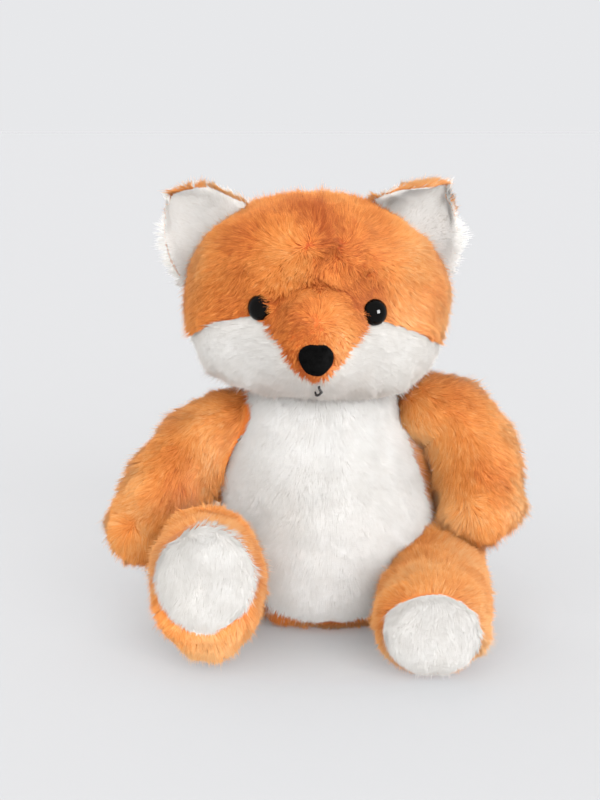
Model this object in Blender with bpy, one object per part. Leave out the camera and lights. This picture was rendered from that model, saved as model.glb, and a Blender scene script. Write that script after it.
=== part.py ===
"""A sitting plush fox: sewn plush panels over stuffing, with plastic eyes and a flocked nose.

Metres, +Z up, the fox looks along -Y and sits on the flat seat panel at z = 0.
The cover panels are modelled at the foot of the pile, as shells around the stuffing.
"""

import math

import bmesh
import bpy
import numpy as np
from mathutils import Matrix, Vector

# Fits that every piece shares
GAP = 0.0003
SEAM_GAP = 0.0005
LIMB_SEAM_GAP = 0.0008
COVER = 0.004
CUT_OVERRUN = 0.06
FACET_ROOM = 0.0019
SNOUT_ROOM = 0.0034

# Body: a pear that leans a little to one side
BODY_HALF_WIDTH = 0.0575
BODY_FRONT = 0.054
BODY_BACK = 0.047
BODY_WIDEST_Z = 0.050
SEAT_RADIUS = 0.030
SEAT_PANEL_Z = 0.0038
SHOULDER_Z = 0.110
SHOULDER_RADIUS = 0.0395
BODY_LEAN = math.radians(3.0)
NECK_PIVOT_Z = 0.100
NECK_HOLE_ANGLE = math.radians(32.0)
NECK_GUSSET = 0.0015
NECK_GUSSET_ANGLE = math.radians(44.0)
BELLY_TAPER_POWER = 1.25
SLOPE_STEP_SHARE = 0.01
SEAM_SLANT_LIMIT = 4.0
SEAT_ROW_SHARE = 0.45
# Half angle of the white belly, at shares of the height from the seat panel to the shoulder
BELLY_EDGE_SHARES = (
    (0.0, 5.0), (0.02, 17.0), (0.06, 34.0), (0.13, 46.0), (0.28, 60.0),
    (0.55, 66.0), (0.80, 70.0), (1.0, 75.0),
)

# Head: a rounded block with a short snout, tilted towards its left ear
HEAD_OFFSET_X = -0.0022
HEAD_RISE = 0.0605
HEAD_HALF_WIDTH = 0.0640
HEAD_CROWN = 0.0515
HEAD_JAW = 0.0420
HEAD_FRONT = 0.0535
HEAD_BACK = 0.050
HEAD_ROLL = math.radians(2.4)
HEAD_ROW_SHARE = 0.80
SNOUT_COLUMN_SHARE = 0.45
CROWN_POWER = 2.15
JAW_POWER = 3.1
SNOUT_REACH = 0.0235
SNOUT_SPREAD = math.radians(20.0)
SNOUT_DROP = math.radians(-12.0)
CROWN_SEAM_Y = 0.006
SLOPE_STEP = math.radians(4.0)
# Where white meets orange on one side of the face, outwards in shares of the half width
# and upwards in shares of the jaw depth, from the nose to beyond the cheek
WHITE_EDGE_SHARES = (
    (0.0, -0.60), (0.086, -0.53), (0.17, -0.40), (0.24, -0.23), (0.31, -0.08),
    (0.39, 0.03), (0.52, 0.0), (0.67, -0.10), (0.86, -0.27), (0.95, -0.33), (1.25, -0.36),
)
MUZZLE_ARC_SHARES = ((0.0, 0.44), (0.19, 0.37), (0.31, 0.22), (0.39, 0.09))
MUZZLE_CORNER_COUNT = 5

# Eyes, nose and mouth
EYE_RADIUS = 0.0064
EYE_DOME = 0.0050
EYE_AZIMUTH = math.radians(29.0)
EYE_ELEVATION = math.radians(5.6)
EYE_SINK = 0.0016
SHANK_RADIUS = 0.0022
SHANK_LENGTH = 0.011
WASHER_RADIUS = 0.0065
WASHER_THICKNESS = 0.0016
NOSE_HALF_WIDTH = 0.0096
NOSE_HALF_HEIGHT = 0.0070
NOSE_DEPTH = 0.0075
NOSE_SINK = 0.0030
NOSE_ELEVATION = math.radians(-9.6)
NOSE_TAPER_SHARE = 0.20
NOSE_ROUNDING_POWER = 0.75
# Size of the nose's rings, each with its height as a share of the depth
NOSE_DOME_SHARES = ((0.86, 0.0), (1.0, 0.22), (0.97, 0.52), (0.80, 0.82), (0.40, 1.0))
STITCH_RADIUS = 0.0006
# The stitch lies on the facet below this row of the head, between these shares of it
STITCH_ROW_COUNT = 5
STITCH_SHARES = (0.22, 0.80)

# Ears
EAR_HALF_WIDTH = 0.025
EAR_HEIGHT = 0.0375
EAR_LAYER = 0.0022
EAR_CUP = 0.006
EAR_ROOT_DROP = 0.0015
EAR_SINK = 0.0025
EAR_SLOT_RADIUS = 0.0036
EAR_CUP_RISE_SHARE = 0.45
# Where across the ear its crown side starts to fold forwards, from 0 to 1
EAR_FOLD_FROM_SHARE = 0.35
EAR_FOLD_POWER = 1.5
EAR_FLOP_FORWARD = math.radians(8.0)
EAR_FLOP_BACK = math.radians(16.0)
EAR_SWING_ROOM = math.radians(3.0)
# Height share, then the sides towards the crown and towards the cheek as half width shares
EAR_SIDE_SHARES = (
    (0.0, -1.0, 1.0), (0.14, -1.02, 0.98), (0.32, -1.01, 0.88), (0.50, -0.97, 0.73),
    (0.68, -0.87, 0.50), (0.82, -0.75, 0.26), (0.92, -0.61, 0.02), (0.98, -0.49, -0.18),
    (1.0, -0.40, -0.28),
)
EAR_PLACES = {
    "left": {
        "side": -1,
        "span": (math.radians(3.0), math.radians(50.0)),
        "lean": math.radians(6.0),
        "curl": math.radians(12.0),
        "fold": 0.0,
    },
    "right": {
        "side": 1,
        "span": (math.radians(15.0), math.radians(59.0)),
        "lean": math.radians(12.0),
        "curl": math.radians(26.0),
        "fold": 0.0080,
    },
}

# Limbs start in a ball and, without a sole, end in a rounded tip
ROOT_ANGLES = (math.radians(40.0), math.radians(66.0))
TIP_SHARES = (0.50, 0.90)

# Arms: a ball at the shoulder, then a stuffed tube
# Shoulder places in shares of the body's half width and of the shoulder's height
ARM_RADIUS = 0.0178
ARM_REACH = 0.070
SHOULDER_Y = -0.002
ARMS = {
    "left": {
        "shoulder_shares": (-0.704, 0.909),
        "spine_shares": ((0, 0, 0), (-0.30, -0.08, -0.13), (-0.56, -0.17, -0.40), (-0.77, -0.28, -0.71)),
        "swell_shares": (1.0, 1.07, 1.09, 0.96),
    },
    "right": {
        "shoulder_shares": (0.8435, 0.950),
        "spine_shares": ((0, 0, 0), (0.18, -0.06, -0.06), (0.33, -0.16, -0.27), (0.39, -0.31, -0.575)),
        "swell_shares": (1.0, 1.08, 1.15, 1.12),
    },
}
ARM_DEPTH_SHARE = 0.90

# Legs: a ball at the hip, then a tube that swells into the foot
HIP_OUT_SHARE = 0.94
HIP_FORWARD_SHARE = 0.26
HIP_RADIUS = 0.0250
HIP_LIFT = 0.0035
LEG_REACH = 0.075
SOLE_DOME = 0.0032
# Size of the sole's rings as shares of its edge, each with its height as a share of the dome
SOLE_DOME_SHARES = ((1.0, 0.0), (1.0, 0.30), (0.86, 0.74), (0.50, 1.0))
# Spine places in shares of the reach; half width and half height in shares of the hip radius
LEGS = {
    "left": {
        "side": -1,
        "spine_shares": (
            (0, 0, 0), (-0.02, -0.32, 0.02), (-0.04, -0.60, 0.10), (-0.055, -0.86, 0.155),
            (-0.06, -1.05, 0.245),
        ),
        "width_shares": (1.0, 0.96, 1.02, 1.06, 1.02),
        "height_shares": (1.0, 1.0, 1.24, 1.50, 1.10),
        "tilt": math.radians(10.0),
        "toe_out": math.radians(-4.0),
    },
    "right": {
        "side": 1,
        "spine_shares": (
            (0, 0, 0), (-0.02, -0.34, -0.045), (-0.05, -0.66, -0.05), (-0.075, -0.98, -0.048),
            (-0.085, -1.23, -0.055),
        ),
        "width_shares": (1.0, 1.0, 1.06, 1.10, 0.99),
        "height_shares": (1.0, 0.88, 0.90, 0.95, 0.92),
        "tilt": math.radians(-10.0),
        "toe_out": 0.0,
    },
}

# Tail: out of sight behind the body
TAIL_RADIUS = 0.013
TAIL_REACH = 0.046
TAIL_OUT = 0.004
TAIL_Z = 0.030
TAIL_SPINE_SHARES = ((0, 0, 0), (0.08, 0.48, 0.12), (0.16, 0.78, 0.50), (0.20, 0.82, 1.0))
TAIL_SWELL_SHARES = (1.0, 1.26, 1.34, 0.80)
TAIL_TIP_STATION_COUNT = 4

# Care label in the side seam
LABEL_WIDTH = 0.0075
LABEL_LENGTH = 0.016
LABEL_THICKNESS = 0.0005
LABEL_Z = 0.0580

# Facets
BODY_COLUMN_COUNT = 24
BODY_ROW_COUNT = 8
DOME_ROW_COUNT = 2
CORE_DOME_ROW_COUNT = 4
BELLY_COLUMN_COUNT = 5
BACK_COLUMN_COUNT = 8
HEAD_COLUMN_COUNT = 26
HEAD_ROW_COUNT = 14
CORE_COLUMN_COUNT = 20
CORE_ROW_COUNT = 11
LIMB_SIDE_COUNT = 10
LIMB_STEP_COUNT = 2
BALL_STEP_COUNT = 16
ROUND_STEP_COUNT = 12
CAP_STEP_COUNT = 5
NECK_COLUMN_COUNT = 20
NECK_ROW_COUNT = 4
EAR_COLUMN_COUNT = 4
LABEL_COLUMN_COUNT = 6
THREAD_SIDE_COUNT = 6

# Colour, roughness, metallic
FINISHES = {
    "orange_plush": ((0.72, 0.26, 0.06), 0.95, 0.0),
    "white_plush": ((0.88, 0.87, 0.84), 0.95, 0.0),
    "stuffing": ((0.90, 0.90, 0.88), 1.0, 0.0),
    "eye_black": ((0.01, 0.01, 0.012), 0.08, 0.0),
    "nose_black": ((0.015, 0.013, 0.012), 0.85, 0.0),
    "washer_plastic": ((0.80, 0.80, 0.78), 0.45, 0.0),
    "black_thread": ((0.02, 0.02, 0.02), 0.7, 0.0),
    "label_satin": ((0.88, 0.84, 0.76), 0.5, 0.0),
}


def clear_scene():
    for obj in list(bpy.data.objects):
        bpy.data.objects.remove(obj, do_unlink=True)


def finish(name):
    material = bpy.data.materials.get(name)
    if material is None:
        colour, roughness, metallic = FINISHES[name]
        material = bpy.data.materials.new(name)
        material.use_nodes = True
        shader = material.node_tree.nodes["Principled BSDF"]
        shader.inputs["Base Color"].default_value = (*colour, 1.0)
        shader.inputs["Roughness"].default_value = roughness
        shader.inputs["Metallic"].default_value = metallic
    return material


def mesh_object(name, points, faces):
    """An object from points and faces, with merged points and faces that look outwards."""
    mesh = bpy.data.meshes.new(name)
    work = bmesh.new()
    corners = [work.verts.new(point) for point in points]
    for face in faces:
        work.faces.new([corners[i] for i in face])
    bmesh.ops.remove_doubles(work, verts=work.verts, dist=GAP / 100)
    bmesh.ops.recalc_face_normals(work, faces=work.faces)
    work.to_mesh(mesh)
    work.free()
    obj = bpy.data.objects.new(name, mesh)
    bpy.context.scene.collection.objects.link(obj)
    return obj


def cutter(obj):
    obj.hide_render = True
    obj.display_type = "WIRE"
    return obj


def cut(obj, *others, operation="DIFFERENCE"):
    for other in others:
        modifier = obj.modifiers.new(other.name, "BOOLEAN")
        modifier.operation = operation
        modifier.object = other
        modifier.solver = "EXACT"


def make_node(obj, material, joint=None):
    """Gives a piece its material and, where it moves, its joint's empty as parent."""
    obj.data.materials.append(finish(material))
    obj.data.shade_smooth()
    if joint is not None:
        obj.data.transform(joint.matrix_world.inverted())
        obj.parent = joint
    return obj


def joint_empty(name, place, parent=None):
    empty = bpy.data.objects.new(name, None)
    bpy.context.scene.collection.objects.link(empty)
    empty.matrix_world = Matrix.Translation(place)
    bpy.context.view_layer.update()
    if parent is not None:
        empty.parent = parent
        empty.matrix_parent_inverse = parent.matrix_world.inverted()
    return empty


def halves(a, b, c, d):
    """A four-sided face as two triangles, split the same way on every layer."""
    return [(a, b, c), (a, c, d)]


def loft(name, rings):
    """A closed solid through closed rings of equally many points, capped at both ends."""
    count = len(rings[0])
    points = [point for ring in rings for point in ring]
    faces = [tuple(range(count))]
    for row in range(len(rings) - 1):
        for i in range(count):
            j = (i + 1) % count
            faces += halves(
                row * count + i, row * count + j,
                (row + 1) * count + j, (row + 1) * count + i,
            )
    last = (len(rings) - 1) * count
    faces.append(tuple(range(last, last + count)))
    return mesh_object(name, points, faces)


def sheet(name, outer, inner):
    """A closed solid between two grids of the same size."""
    rows, columns = len(outer), len(outer[0])
    points = [p for grid in (outer, inner) for row in grid for p in row]
    below = rows * columns
    faces = []
    for r in range(rows - 1):
        for c in range(columns - 1):
            square = halves(
                r * columns + c, r * columns + c + 1,
                (r + 1) * columns + c + 1, (r + 1) * columns + c,
            )
            faces += square
            faces += [tuple(i + below for i in reversed(face)) for face in square]
    rim = [c for c in range(columns)]
    rim += [r * columns + columns - 1 for r in range(1, rows)]
    rim += [(rows - 1) * columns + c for c in range(columns - 2, -1, -1)]
    rim += [r * columns for r in range(rows - 2, 0, -1)]
    for i, a in enumerate(rim):
        b = rim[(i + 1) % len(rim)]
        faces += halves(a, b, b + below, a + below)
    return mesh_object(name, points, faces)


def prism(name, outline, start, end):
    """An outline in X and Z, extruded along Y."""
    rings = [[Vector((x, y, z)) for x, z in outline] for y in (start, end)]
    return loft(name, rings)


# How far a ball's facets come inside its corners, all round its axis
BALL_SNUG = math.cos(math.pi / BALL_STEP_COUNT)


def ball(name, centre, radius, pole="Z"):
    """A cutter in the shape of a faceted ball with its poles on the axis that it turns about."""
    mesh = bpy.data.meshes.new(name)
    work = bmesh.new()
    tip = 0 if pole == "Z" else math.pi / 2
    bmesh.ops.create_uvsphere(
        work, u_segments=BALL_STEP_COUNT, v_segments=BALL_STEP_COUNT // 2, radius=radius,
        matrix=Matrix.Rotation(tip, 4, "X"),
    )
    work.to_mesh(mesh)
    work.free()
    obj = bpy.data.objects.new(name, mesh)
    obj.location = centre
    bpy.context.scene.collection.objects.link(obj)
    return cutter(obj)


def turned(name, profile, frame):
    """A solid turned about a frame's Z axis, from (radius, height) pairs."""
    rings = []
    for radius, height in profile:
        rings.append([
            frame @ Vector((
                radius * math.cos(math.tau * i / ROUND_STEP_COUNT),
                radius * math.sin(math.tau * i / ROUND_STEP_COUNT),
                height,
            ))
            for i in range(ROUND_STEP_COUNT)
        ])
    return loft(name, rings)


# Body

def body_centre_x(z):
    return -math.tan(BODY_LEAN) * min(z, NECK_PIVOT_Z)


NECK = Vector((body_centre_x(NECK_PIVOT_Z), 0, NECK_PIVOT_Z))
DOME_RADIUS = math.hypot(SHOULDER_RADIUS, SHOULDER_Z - NECK_PIVOT_Z)
HEAD_CENTRE = NECK + Vector((HEAD_OFFSET_X, 0, HEAD_RISE))


def body_radius(z):
    """Half width of the pear at a height."""
    if z <= BODY_WIDEST_Z:
        rise = 1 - z / BODY_WIDEST_Z
        return SEAT_RADIUS + (BODY_HALF_WIDTH - SEAT_RADIUS) * math.sqrt(1 - rise * rise)
    share = (z - BODY_WIDEST_Z) / (SHOULDER_Z - BODY_WIDEST_Z)
    swell = math.cos(math.pi / 2 * min(share, 1)) ** BELLY_TAPER_POWER
    return SHOULDER_RADIUS + (BODY_HALF_WIDTH - SHOULDER_RADIUS) * swell


def body_fullness(z):
    """How far a height follows the belly's own depth rather than a circle."""
    if z <= BODY_WIDEST_Z:
        return z / BODY_WIDEST_Z
    return math.cos(math.pi / 2 * min((z - BODY_WIDEST_Z) / (SHOULDER_Z - BODY_WIDEST_Z), 1))


def body_normal(z):
    """How far outwards and upwards the pear faces at a height, as a unit pair."""
    step = BODY_WIDEST_Z * SLOPE_STEP_SHARE
    low, high = max(z - step, 0), min(z + step, SHOULDER_Z)
    slope = (body_radius(high) - body_radius(low)) / (high - low)
    if z == 0:
        return 0.0, -1.0
    return 1 / math.hypot(1, slope), -slope / math.hypot(1, slope)


def body_point(azimuth, z, depth=0.0):
    """A point of the pear below the dome, depth inside it."""
    reach = BODY_FRONT if math.cos(azimuth) > 0 else BODY_BACK
    radius = body_radius(z)
    flat = 1 + (reach / BODY_HALF_WIDTH - 1) * body_fullness(z)
    out, up = body_normal(z)
    return Vector((
        body_centre_x(z) + (radius - depth * out) * math.sin(azimuth),
        -(radius * flat - depth * out) * math.cos(azimuth),
        z - depth * up,
    ))


def dome_point(azimuth, angle, depth=0.0):
    """A point of the dome that the head turns on, by its angle from straight up."""
    radius = DOME_RADIUS - depth
    return NECK + radius * Vector((
        math.sin(angle) * math.sin(azimuth),
        -math.sin(angle) * math.cos(azimuth),
        math.cos(angle),
    ))


DOME_EDGE = math.acos((SHOULDER_Z - NECK_PIVOT_Z) / DOME_RADIUS)


def row_share(share):
    """Even steps turned into steps that are smaller near the seat."""
    return SEAT_ROW_SHARE * share + (1 - SEAT_ROW_SHARE) * share * share


def body_levels(first, rows, dome_rows):
    """Heights below the dome, closer together near the seat, then angles on the dome."""
    levels = []
    for i in range(rows + 1):
        share = i / rows
        levels.append(("z", first + (SHOULDER_Z - first) * row_share(share)))
    for i in range(1, dome_rows + 1):
        levels.append(("dome", DOME_EDGE + (NECK_HOLE_ANGLE - DOME_EDGE) * i / dome_rows))
    return levels


def level_point(azimuth, level, depth):
    kind, value = level
    if kind == "z":
        return body_point(azimuth, value, depth)
    return dome_point(azimuth, value, depth)


def belly_edge(level):
    """Half angle of the belly panels at a level."""
    kind, value = level
    share = 1.0
    if kind == "z":
        share = (value - SEAT_PANEL_Z) / (SHOULDER_Z - SEAT_PANEL_Z)
    shares = [row[0] for row in BELLY_EDGE_SHARES]
    angles = [row[1] for row in BELLY_EDGE_SHARES]
    return math.radians(float(np.interp(share, shares, angles)))


def seam_slips(levels):
    """Half the seam's width at each level as an angle, wider where the seam runs across."""
    edge = [level_point(belly_edge(level), level, 0.0) for level in levels]
    slips = []
    for i, level in enumerate(levels):
        run = edge[min(i + 1, len(edge) - 1)] - edge[max(i - 1, 0)]
        radius = math.hypot(edge[i].x - body_centre_x(edge[i].z), edge[i].y)
        across = math.hypot(run.x, run.y)
        slant = run.length / max(math.sqrt(max(run.length ** 2 - across ** 2, 0)), GAP)
        slips.append(SEAM_GAP / 2 * min(slant, SEAM_SLANT_LIMIT) / radius)
    return slips


def body_panel(name, side, front, columns):
    levels = body_levels(SEAT_PANEL_Z + SEAM_GAP, BODY_ROW_COUNT, DOME_ROW_COUNT)
    slips = seam_slips(levels)
    grids = []
    for depth in (0.0, COVER):
        grid = []
        for level, slip in zip(levels, slips):
            edge = belly_edge(level)
            start, end = (slips[-1], edge - slip) if front else (edge + slip, math.pi - slips[-1])
            grid.append([
                level_point(side * (start + (end - start) * c / columns), level, depth)
                for c in range(columns + 1)
            ])
        grids.append(grid)
    return sheet(name, *grids)


def body_ring(z, depth=0.0):
    return [body_point(math.tau * i / BODY_COLUMN_COUNT, z, depth) for i in range(BODY_COLUMN_COUNT)]


def seat_panel():
    """A shallow dish: flat where the fox sits, turned up to the belly and back panels."""
    heights = (0.0, SEAT_PANEL_Z / 3, SEAT_PANEL_Z)
    rings = [body_ring(z) for z in heights]
    rings += [body_ring(z, COVER) for z in reversed(heights)]
    return loft("seat_panel", rings)


def body_core(name, depth, balls):
    """The pear as one solid, depth inside the outer surface, or outside it where negative."""
    rings = []
    for i in range(BODY_ROW_COUNT + 1):
        rings.append(body_ring(SHOULDER_Z * row_share(i / BODY_ROW_COUNT), depth))
    for i in range(1, CORE_DOME_ROW_COUNT):
        angle = DOME_EDGE * (1 - i / CORE_DOME_ROW_COUNT)
        rings.append([
            dome_point(math.tau * k / BODY_COLUMN_COUNT, angle, depth) for k in range(BODY_COLUMN_COUNT)
        ])
    core = loft(name, rings)
    cut(core, *balls)
    return core


# Limbs

def limb_path(start, reach, spine_shares):
    return [start + reach * Vector(share) for share in spine_shares]


def smooth(values, steps):
    """A Catmull-Rom curve through the values, with steps parts between neighbours."""
    ends = [2 * values[0] - values[1], *values, 2 * values[-1] - values[-2]]
    out = []
    for i in range(1, len(ends) - 2):
        a, b, c, d = ends[i - 1:i + 3]
        for k in range(steps):
            t = k / steps
            out.append(0.5 * (
                2 * b + (c - a) * t + (2 * a - 5 * b + 4 * c - d) * t * t
                + (3 * b - a - 3 * c + d) * t ** 3
            ))
    out.append(values[-1])
    return out


class Limb:
    """A stuffed tube that starts in a ball and ends in a rounded tip or at a flat sole."""

    def __init__(self, path, widths, heights, up_axis, end_normal=None):
        self.centres = smooth(path, LIMB_STEP_COUNT)
        self.widths = smooth(widths, LIMB_STEP_COUNT)
        self.heights = smooth(heights, LIMB_STEP_COUNT)
        self.ball = widths[0]
        self.up_axis = up_axis
        self.end_normal = end_normal

    def direction(self, i):
        last = len(self.centres) - 1
        if i == last and self.end_normal is not None:
            return self.end_normal
        along = self.centres[min(i + 1, last)] - self.centres[max(i - 1, 0)]
        return along.normalized()

    def axes(self, forward):
        up = (self.up_axis - forward * self.up_axis.dot(forward)).normalized()
        return up.cross(forward), up

    def rings(self, depth):
        """Centre, two half axes, for each ring from the root to the tip."""
        out = []
        forward = self.direction(0)
        across, up = self.axes(forward)
        radius = self.ball - depth
        for angle in ROOT_ANGLES:
            out.append((
                self.centres[0] - forward * radius * math.cos(angle),
                across * radius * math.sin(angle), up * radius * math.sin(angle),
            ))
        for i, centre in enumerate(self.centres):
            across, up = self.axes(self.direction(i))
            out.append((centre, across * (self.widths[i] - depth), up * (self.heights[i] - depth)))
        if self.end_normal is None:
            forward = self.direction(len(self.centres) - 1)
            across, up = self.axes(forward)
            width, height = self.widths[-1] - depth, self.heights[-1] - depth
            for share in TIP_SHARES:
                lift = math.sin(math.pi / 2 * share)
                narrow = math.cos(math.pi / 2 * share)
                out.append((
                    self.centres[-1] + forward * width * lift,
                    across * width * narrow, up * height * narrow,
                ))
        return out


def ring_points(ring, angles):
    centre, across, up = ring
    return [centre + across * math.cos(a) + up * math.sin(a) for a in angles]


def whole_ring(ring):
    return ring_points(ring, [math.tau * i / LIMB_SIDE_COUNT for i in range(LIMB_SIDE_COUNT)])


def half_shell(name, outer, inner, half):
    """One of two cover panels, on the side of the positive or negative second axis."""
    grids = []
    columns = LIMB_SIDE_COUNT // 2
    for rings in (outer, inner):
        grid = []
        for k, ring in enumerate(rings):
            slip = LIMB_SEAM_GAP / 2 / inner[k][1].length
            start = slip if half > 0 else slip - math.pi
            angles = [start + (math.pi - 2 * slip) * c / columns for c in range(columns + 1)]
            grid.append(ring_points(ring, angles))
        grids.append(grid)
    return sheet(name, *grids)


def moved(ring, distance):
    """The ring, moved forward along the limb."""
    centre, across, up = ring
    return centre + across.cross(up).normalized() * distance, across, up


def make_limb(name, limb, joint, keep_out, sides, last=None):
    """Two cover panels and the stuffing of a limb, cut where the body is in the way."""
    outer, inner = limb.rings(0.0), limb.rings(COVER)
    if last is not None:
        outer, inner = (
            [*rings[:last], moved(rings[last], -SEAM_GAP / 2)] for rings in (outer, inner)
        )
    for half_name, half in sides:
        panel = half_shell(f"{name}_{half_name}", outer, inner, half)
        make_node(panel, "orange_plush", joint)
        cut(panel, keep_out)
    rings = [whole_ring(ring) for ring in limb.rings(COVER + GAP)]
    filling = make_node(loft(f"{name}_stuffing", rings), "stuffing", joint)
    cut(filling, keep_out)


def make_tail(limb, joint, keep_out):
    """The tail's two panels and stuffing, and the white cup of its tip."""
    last = len(ROOT_ANGLES) + TAIL_TIP_STATION_COUNT
    make_limb("tail", limb, joint, keep_out, (("upper", 1), ("lower", -1)), last)
    outer, inner = limb.rings(0.0), limb.rings(COVER)
    cup = [moved(outer[last], SEAM_GAP / 2), *outer[last + 1:]]
    hollow = [moved(inner[last], -COVER), *inner[last:]]
    tip = make_node(loft("tail_tip", [whole_ring(ring) for ring in cup]), "white_plush", joint)
    cut(tip, cutter(loft("tail_tip_hollow", [whole_ring(ring) for ring in hollow])))


def arm_limb(place):
    out_share, up_share = place["shoulder_shares"]
    start = Vector((out_share * BODY_HALF_WIDTH, SHOULDER_Y, up_share * SHOULDER_Z))
    widths = [ARM_RADIUS * share for share in place["swell_shares"]]
    heights = [widths[0], *[ARM_DEPTH_SHARE * width for width in widths[1:]]]
    path = limb_path(start, ARM_REACH, place["spine_shares"])
    return Limb(path, widths, heights, Vector((0, -1, 0)))


def leg_limb(place):
    height = HIP_RADIUS + HIP_LIFT
    out = place["side"] * HIP_OUT_SHARE * BODY_HALF_WIDTH
    hip = Vector((body_centre_x(height) + out, -HIP_FORWARD_SHARE * BODY_FRONT, height))
    path = limb_path(hip, LEG_REACH, place["spine_shares"])
    widths = [HIP_RADIUS * share for share in place["width_shares"]]
    heights = [HIP_RADIUS * share for share in place["height_shares"]]
    normal = Vector((
        math.sin(place["toe_out"]),
        -math.cos(place["tilt"]) * math.cos(place["toe_out"]),
        math.sin(place["tilt"]),
    ))
    return Limb(path, widths, heights, Vector((0, 0, 1)), normal)


def make_sole(name, limb, joint):
    """The white disc that closes a foot, domed by the stuffing behind it."""
    centre, across, up = limb.rings(0.0)[-1]
    normal = limb.end_normal
    rings = []
    for share, rise in SOLE_DOME_SHARES:
        middle = centre + normal * (GAP + (COVER + SOLE_DOME) * rise)
        rings.append(whole_ring((middle, across * share, up * share)))
    make_node(loft(name, rings), "white_plush", joint)


# Head

HEAD_FRAME = Matrix.Translation(HEAD_CENTRE) @ Matrix.Rotation(HEAD_ROLL, 4, "Y")


def head_direction(azimuth, elevation):
    return Vector((
        math.cos(elevation) * math.sin(azimuth),
        -math.cos(elevation) * math.cos(azimuth),
        math.sin(elevation),
    ))


SNOUT = head_direction(0, SNOUT_DROP)


def head_radius(direction):
    """Distance from the head's centre to its cover along a unit direction."""
    sides = (
        HEAD_HALF_WIDTH,
        HEAD_FRONT if direction.y < 0 else HEAD_BACK,
        HEAD_CROWN if direction.z > 0 else HEAD_JAW,
    )
    squareness = min(max(-2 * direction.z, 0), 1)
    power = CROWN_POWER + (JAW_POWER - CROWN_POWER) * squareness
    total = sum((abs(part) / side) ** power for part, side in zip(direction, sides))
    radius = total ** (-1 / power)
    bend = math.acos(max(min(direction.dot(SNOUT), 1), -1)) / SNOUT_SPREAD
    return radius + SNOUT_REACH * math.exp(-bend * bend)


def head_point(azimuth, elevation, depth=0.0):
    direction = head_direction(azimuth, elevation)
    return HEAD_FRAME @ (direction * (head_radius(direction) - depth))


def head_elevation(row, rows):
    share = 2 * row / rows - 1
    return math.pi / 2 * (HEAD_ROW_SHARE * share + (1 - HEAD_ROW_SHARE) * share ** 3)


def head_solid(name, depth, columns, rows):
    """The whole head as one solid, with its columns and rows closer near the snout."""
    rings = []
    for r in range(1, rows):
        ring = []
        for c in range(columns):
            turn = math.tau * c / columns - math.pi
            azimuth = turn - SNOUT_COLUMN_SHARE * math.sin(turn)
            ring.append(head_point(azimuth, head_elevation(r, rows), depth))
        rings.append(ring)
    return loft(name, rings)


def surface_frame(azimuth, elevation, depth):
    """A frame on the head, Z straight out of the cover, Y up the face, depth inside it."""
    here = head_point(azimuth, elevation)
    right = (head_point(azimuth + SLOPE_STEP, elevation)
             - head_point(azimuth - SLOPE_STEP, elevation))
    upward = (head_point(azimuth, elevation + SLOPE_STEP)
              - head_point(azimuth, elevation - SLOPE_STEP))
    out = right.cross(upward).normalized()
    up = (upward - out * upward.dot(out)).normalized()
    across = up.cross(out)
    frame = Matrix((across, up, out)).transposed().to_4x4()
    return Matrix.Translation(here - out * depth) @ frame


def face_place(share):
    """From a place in shares of the half width and of the jaw to X and Z in the head's frame."""
    return share[0] * HEAD_HALF_WIDTH, share[1] * HEAD_JAW


def mirrored(places, side):
    return [(side * x, z) for x, z in places]


def head_prism(name, outline, start, end):
    region = prism(name, outline, start, end)
    region.matrix_world = HEAD_FRAME
    return cutter(region)


def face_regions():
    """The front panels as prisms along Y, in the head's own frame."""
    edge = [face_place(share) for share in WHITE_EDGE_SHARES]
    arc = [face_place(share) for share in MUZZLE_ARC_SHARES]
    slip = SEAM_GAP / 2
    high, low = HEAD_CROWN + CUT_OVERRUN, -HEAD_JAW - CUT_OVERRUN
    front, back = -HEAD_FRONT - CUT_OVERRUN, CROWN_SEAM_Y - slip
    inner = edge[:MUZZLE_CORNER_COUNT + 1]
    outer = edge[MUZZLE_CORNER_COUNT + 1:]
    regions = {}
    for side_name, side in (("left", -1), ("right", 1)):
        brow = [(max(x, slip), z + slip) for x, z in arc] + [(x, z + slip) for x, z in outer]
        crown = [*brow, (outer[-1][0], high), (slip, high)]
        cheek = [(max(x, slip), z - slip) for x, z in edge] + [(outer[-1][0], low), (slip, low)]
        regions[f"head_crown_{side_name}"] = head_prism(
            f"crown_region_{side_name}", mirrored(crown, side), front, back)
        regions[f"cheek_{side_name}"] = head_prism(
            f"cheek_region_{side_name}", mirrored(cheek, side), front, back)
    lower = [(x, z + slip) for x, z in inner]
    upper = [(x, z - slip) for x, z in arc]
    half = lower + upper[::-1]
    muzzle = half + mirrored(half[1:-1], -1)[::-1]
    regions["muzzle_top"] = head_prism("muzzle_region", muzzle, front, back)
    wide = HEAD_HALF_WIDTH + CUT_OVERRUN
    behind = [(-wide, low), (wide, low), (wide, high), (-wide, high)]
    regions["head_back"] = head_prism(
        "back_region", behind, CROWN_SEAM_Y + slip, HEAD_BACK + CUT_OVERRUN)
    return regions


def make_head(joint, ear_slots, cover_holes, rooms):
    core = cutter(head_solid("head_core", COVER, CORE_COLUMN_COUNT, CORE_ROW_COUNT))
    socket = ball("head_socket", NECK, (DOME_RADIUS + NECK_GUSSET + 2 * GAP) / BALL_SNUG ** 2)
    for name, region in face_regions().items():
        white = name.startswith("cheek")
        panel = head_solid(name, 0.0, HEAD_COLUMN_COUNT, HEAD_ROW_COUNT)
        make_node(panel, "white_plush" if white else "orange_plush", joint)
        if name.startswith(("head_crown", "head_back")):
            cut(panel, *ear_slots)
        cut(panel, region, operation="INTERSECT")
        cut(panel, core, socket)
        if name != "head_back":
            cut(panel, *cover_holes)
    filling = head_solid("head_stuffing", COVER + GAP + FACET_ROOM, CORE_COLUMN_COUNT, CORE_ROW_COUNT)
    make_node(filling, "stuffing", joint)
    cut(filling, socket, *ear_slots, *rooms)


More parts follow.
